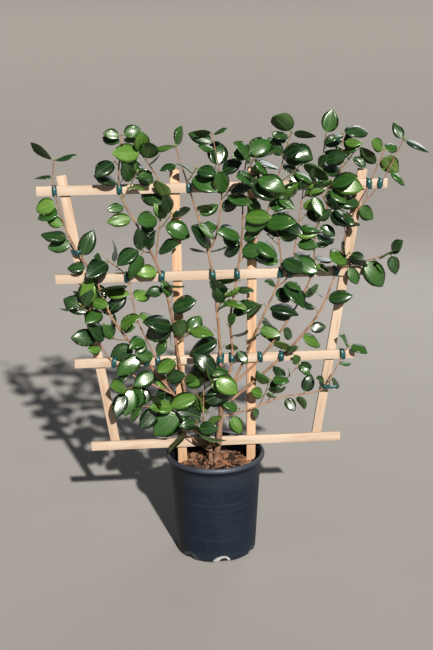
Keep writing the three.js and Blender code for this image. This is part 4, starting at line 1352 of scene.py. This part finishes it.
railTones = ((0.435, 0.335, 0.262), (0.515, 0.428, 0.35), (0.345, 0.235, 0.165))
innerTones = ((0.5, 0.325, 0.21), (0.585, 0.41, 0.292), (0.37, 0.21, 0.12))
outerTones = ((0.425, 0.318, 0.236), (0.505, 0.4, 0.315), (0.335, 0.215, 0.14))
for i, (z, halfLength) in enumerate(zip(rails, trellis["railHalfLengths"]), 1):
    place = (trellis["middle"], railY, z)
    piece = makeLath(f"rail_{i}", place, (2 * halfLength, lath["thickness"], lath["width"]))
    piece.data.materials.append(lathFinish(f"rail_{i}", (37 * i, railY, z), 0, True, railTones, 0.55))
    hand(piece, "rail_lath", f"rail_{i}")
for name, (place, lean, length) in uprights.items():
    piece = makeLath(name, place, (lath["width"], lath["thickness"], length), lean)
    woodTones = outerTones if "outer" in name else innerTones
    piece.data.materials.append(lathFinish(name, place, lean, False, woodTones, 0.8))
    hand(piece, "upright_lath", name)
print("trellis made")

# Ties of soft tape: a band over the stem in front, round the lath and back behind it
tape = {"spare": 8, "least": 12.5, "uneven": (0.92, 1.12), "edge": 0.92, "thickness": 0.5, "stand": 1,
        "slant": (0.8, 3.2), "steps": 6, "pull": 0.35, "overLath": 0.8, "offLath": 0.7, "shoulder": 0.6,
        "holdRail": 4.2, "rearBow": 0.6, "tailWidth": 8, "crease": 0.35, "creaseStep": 0.8, "bulge": 0.9}
# Corners of the tape's section: share of its width across, and under or upper face
bandCorners = ((-0.5, 0), (0, 0), (0.5, 0), (0.5, 1), (0, 1), (-0.5, 1))
# Ties that the part leaves out: height, how far the stem lies off the upright's middle, and a loose end
uprightTies = {
    "far_left": ("upright_outer_left", 893, 6, None), "left_low": ("upright_outer_left", 713, 6, (2, -22)),
    "low_right": ("upright_outer_right", 484, -5, (34, 4)),
}


# A band of tape through spots, each with its width as a fourth number
def addBand(gather, spots, outwards, wide, closed):
    total = len(spots)
    points = []
    for i, spot in enumerate(spots):
        after, before = ((i + 1) % total, i - 1) if closed else (min(i + 1, total - 1), max(i - 1, 0))
        ahead = unit(spots[after][:3] - spots[before][:3])
        outward = outwards(spot[:3])
        outward = outward - wide * float(outward @ wide)
        outward = unit(outward - ahead * float(outward @ ahead))
        aside = cross(ahead, outward)
        crease = tape["crease"] * math.sin(i * tape["creaseStep"] + spots[0][0])
        for share, depth in bandCorners:
            bulge = 0 if share else tape["bulge"]
            lift = depth * tape["thickness"] + crease * (1 if share > 0 else -0.6) + bulge
            points.append(spot[:3] + aside * (share * spot[3]) + outward * lift)
    faces = skinFaces(total + closed, len(bandCorners), not closed)
    gather.add(points, [tuple(i % len(points) for i in face) for face in faces])


# The smooth loop through knots of four numbers
def loopThrough(knots):
    count, spots = len(knots), []
    for i in range(count):
        p0, p1, p2, p3 = (knots[(i + j) % count] for j in (-1, 0, 1, 2))
        for step in range(tape["steps"]):
            w = step / tape["steps"]
            spots.append(between(p1, p2, tape["pull"] * (p2 - p0), tape["pull"] * (p3 - p1), w))
    return np.array(spots)


# The middle lies on the lath at the stem: wide runs along the lath, over runs across it
def addTie(gather, middle, wide, over, lathFront, stemFront, aside, hold, radius, side, dice):
    front, near = stemFront - tape["stand"], lathFront - tape["offLath"]
    rear = lathFront + lath["thickness"] + tape["offLath"]
    top = lath["width"] / 2 + tape["overLath"]
    width = max(tape["least"], 2 * radius + tape["spare"]) * dice(*tape["uneven"])
    edge = width * tape["edge"]
    slant = side * dice(*tape["slant"])
    share = tape["shoulder"]
    bend = mix(near, front, share)
    knots = [(-slant, near, top, edge), (-slant * share, bend, mix(aside + hold, top, share), width),
             (0, front, aside + hold, width), (0, front, aside - hold, width),
             (slant * share, bend, mix(aside - hold, -top, share), width), (slant, near, -top, edge),
             (slant, rear, -top, edge), (0, rear + tape["rearBow"], 0, width), (-slant, rear, top, edge)]
    middle = np.array((middle[0], 0, middle[2]))
    knots = np.array([(*(middle + wide * dx + over * dz + back * y), w) for dx, y, dz, w in knots])
    centre = middle + back * ((front + rear) / 2)
    addBand(gather, loopThrough(knots), lambda spot: spot - centre, wide, True)


def makeTies():
    ties = Gather()
    for i, tie in enumerate(plant.ties):
        radius, place = tie["radius"], tie["place"]
        addTie(ties, (place[0], 0, tie["rail"]), right, up, trellis["front"], place[1] - radius, 0,
               tape["holdRail"], radius, 1 if i % 3 else -1, diceFor(seedRule["tie"] + i))
    for i, (name, (upright, z, aside, tail)) in enumerate(uprightTies.items()):
        line = stems[name]["line"]
        place = line.spot(line.atHeight(z))[0]
        foot, lean, _ = uprights[upright]
        across, along = leanWays(lean)
        middle = foot + along * ((z - foot[2]) / math.cos(lean))
        radius = plant.radiusAt(stems[name], line.atHeight(z))
        lathFront = trellis["front"] + lath["thickness"] + gap
        addTie(ties, middle, along, across, lathFront, place[1] - radius, aside, radius + 1, radius, 1,
               diceFor(seedRule["uprightTie"] + i))
        if tail:
            start = middle + across * aside
            start[1] = place[1] - radius - tape["stand"] - 1
            end = start + right * tail[0] + up * tail[1] - back * 5
            line = Line([start, (start + end) / 2 - back * 3 - up * 2, end], 4)
            spots = [(*spot, tape["tailWidth"]) for spot in line.points]
            addBand(ties, np.array(spots), lambda spot: -back, along, False)
    return ties.build("ties", [tapeFinish()])


def tapeFinish():
    finish = Finish("tie_tape", Roughness=0.4, Coat_Weight=0.4, Coat_Roughness=0.2)
    place = finish.place()
    creases = finish.noise(finish.turned(place, scale=(3, 1, 1)), 130, 3, 0.6)
    colour = finish.mix(creases.ramp(0.35, 0.7), (0.0045, 0.047, 0.049), (0.023, 0.124, 0.127))
    relief = finish.bump(creases, 0.5, 0.0008)
    return finish.show(Base_Color=colour, Roughness=0.32 + creases * 0.2, Normal=relief)


hand(makeTies(), "tie_tape", *(name for name in nodes if name.startswith("tie_")))
print("ties made")


# Pale floor, a soft low sun from the front right and pale light all round
light = {
    "sun": {"from": (0.164, -0.826, 0.54), "away": 5, "angle": 1.4, "strength": 5.3,
            "colour": (1, 0.955, 0.88)},
    "fill": {"place": (-3.4, -2.2, 2.4), "size": 3, "power": 3, "colour": (0.86, 0.93, 1)},
    "rim": {"place": (1.8, 3.2, 2.6), "size": 2.5, "power": 30, "colour": (0.95, 0.97, 1)},
    "sky": (0.8, 0.88, 0.98), "skyStrength": 0.068, "aim": (0, 0, 0.7),
}


# A lamp of the light table, turned towards a place
def addLamp(name, data, place, towards):
    data.color = light[name]["colour"]
    lamp = bpy.data.objects.new(name, data)
    bpy.context.scene.collection.objects.link(lamp)
    lamp.location = place
    lamp.rotation_euler = (Vector(towards) - Vector(place)).to_track_quat("-Z", "Y").to_euler()


sun = bpy.data.lights.new("sun", "SUN")
sun.angle, sun.energy = math.radians(light["sun"]["angle"]), light["sun"]["strength"]
addLamp("sun", sun, Vector(light["sun"]["from"]) * light["sun"]["away"], (0, 0, 0))
for name in ("fill", "rim"):
    panel = bpy.data.lights.new(name, "AREA")
    panel.shape, panel.size, panel.energy = "DISK", light[name]["size"], light[name]["power"]
    addLamp(name, panel, light[name]["place"], light["aim"])
world = bpy.data.worlds.new("pale_world")
bpy.context.scene.world = world
world.use_nodes = True
world.node_tree.nodes["Background"].inputs[0].default_value = (*light["sky"], 1)
world.node_tree.nodes["Background"].inputs[1].default_value = light["skyStrength"]
bpy.context.scene.view_settings.view_transform = "Standard"
bpy.context.scene.view_settings.look = "Medium High Contrast"


floor = {"flat": 18, "rise": ((32, 0.85), (55, 3.3), (57, 3.6), (64, 8.6), (66.5, 15.8)), "drop": 0.5,
         "sides": 96, "fade": (28, 52), "low": (0.33, 0.318, 0.308), "high": (0.355, 0.343, 0.333),
         "glow": (0.345, 0.322, 0.29)}


# The floor is flat round the pot and rises gently far away, where it glows in its own lit tone: the backdrop
def makeFloor():
    piece = addDisc("floor", floor["flat"], floor["sides"], -floor["drop"] * mm)
    lastRadius, lastHeight = floor["flat"], 0
    for radius, height in floor["rise"]:
        bpy.ops.mesh.select_all(action="DESELECT")
        selectRim(piece, lastRadius)
        bpy.ops.mesh.extrude_edges_move(TRANSFORM_OT_translate={"value": (0, 0, height - lastHeight)})
        share = radius / lastRadius
        bpy.ops.transform.resize(value=(share, share, 1), center_override=(0, 0, height))
        lastRadius, lastHeight = radius, height
    bpy.ops.object.mode_set(mode="OBJECT")
    bpy.ops.object.shade_smooth()
    finish = Finish("pale_floor", Roughness=0.9, Emission_Strength=1, Specular_IOR_Level=0)
    place = finish.place()
    x, y, _ = finish.parts(place)
    far = ((x * x + y * y) ** 0.5).ramp(*floor["fade"])
    near = finish.mix(finish.noise(place, 3, 3), floor["low"], floor["high"])
    paint = finish.show(Base_Color=finish.mix(far, near, (0, 0, 0)),
                        Emission_Color=finish.mix(far, (0, 0, 0), floor["glow"]))
    paint.cycles.emission_sampling = "NONE"
    piece.data.materials.append(paint)
    settle(piece)


# Selects the outermost ring of edges, by its radius
def selectRim(piece, radius):
    mesh = bmesh.from_edit_mesh(piece.data)
    for edge in mesh.edges:
        if all(abs(math.hypot(v.co.x, v.co.y) - radius) < radius * 0.01 for v in edge.verts):
            edge.select_set(True)
    bmesh.update_edit_mesh(piece.data)


makeFloor()
print("light and floor placed")
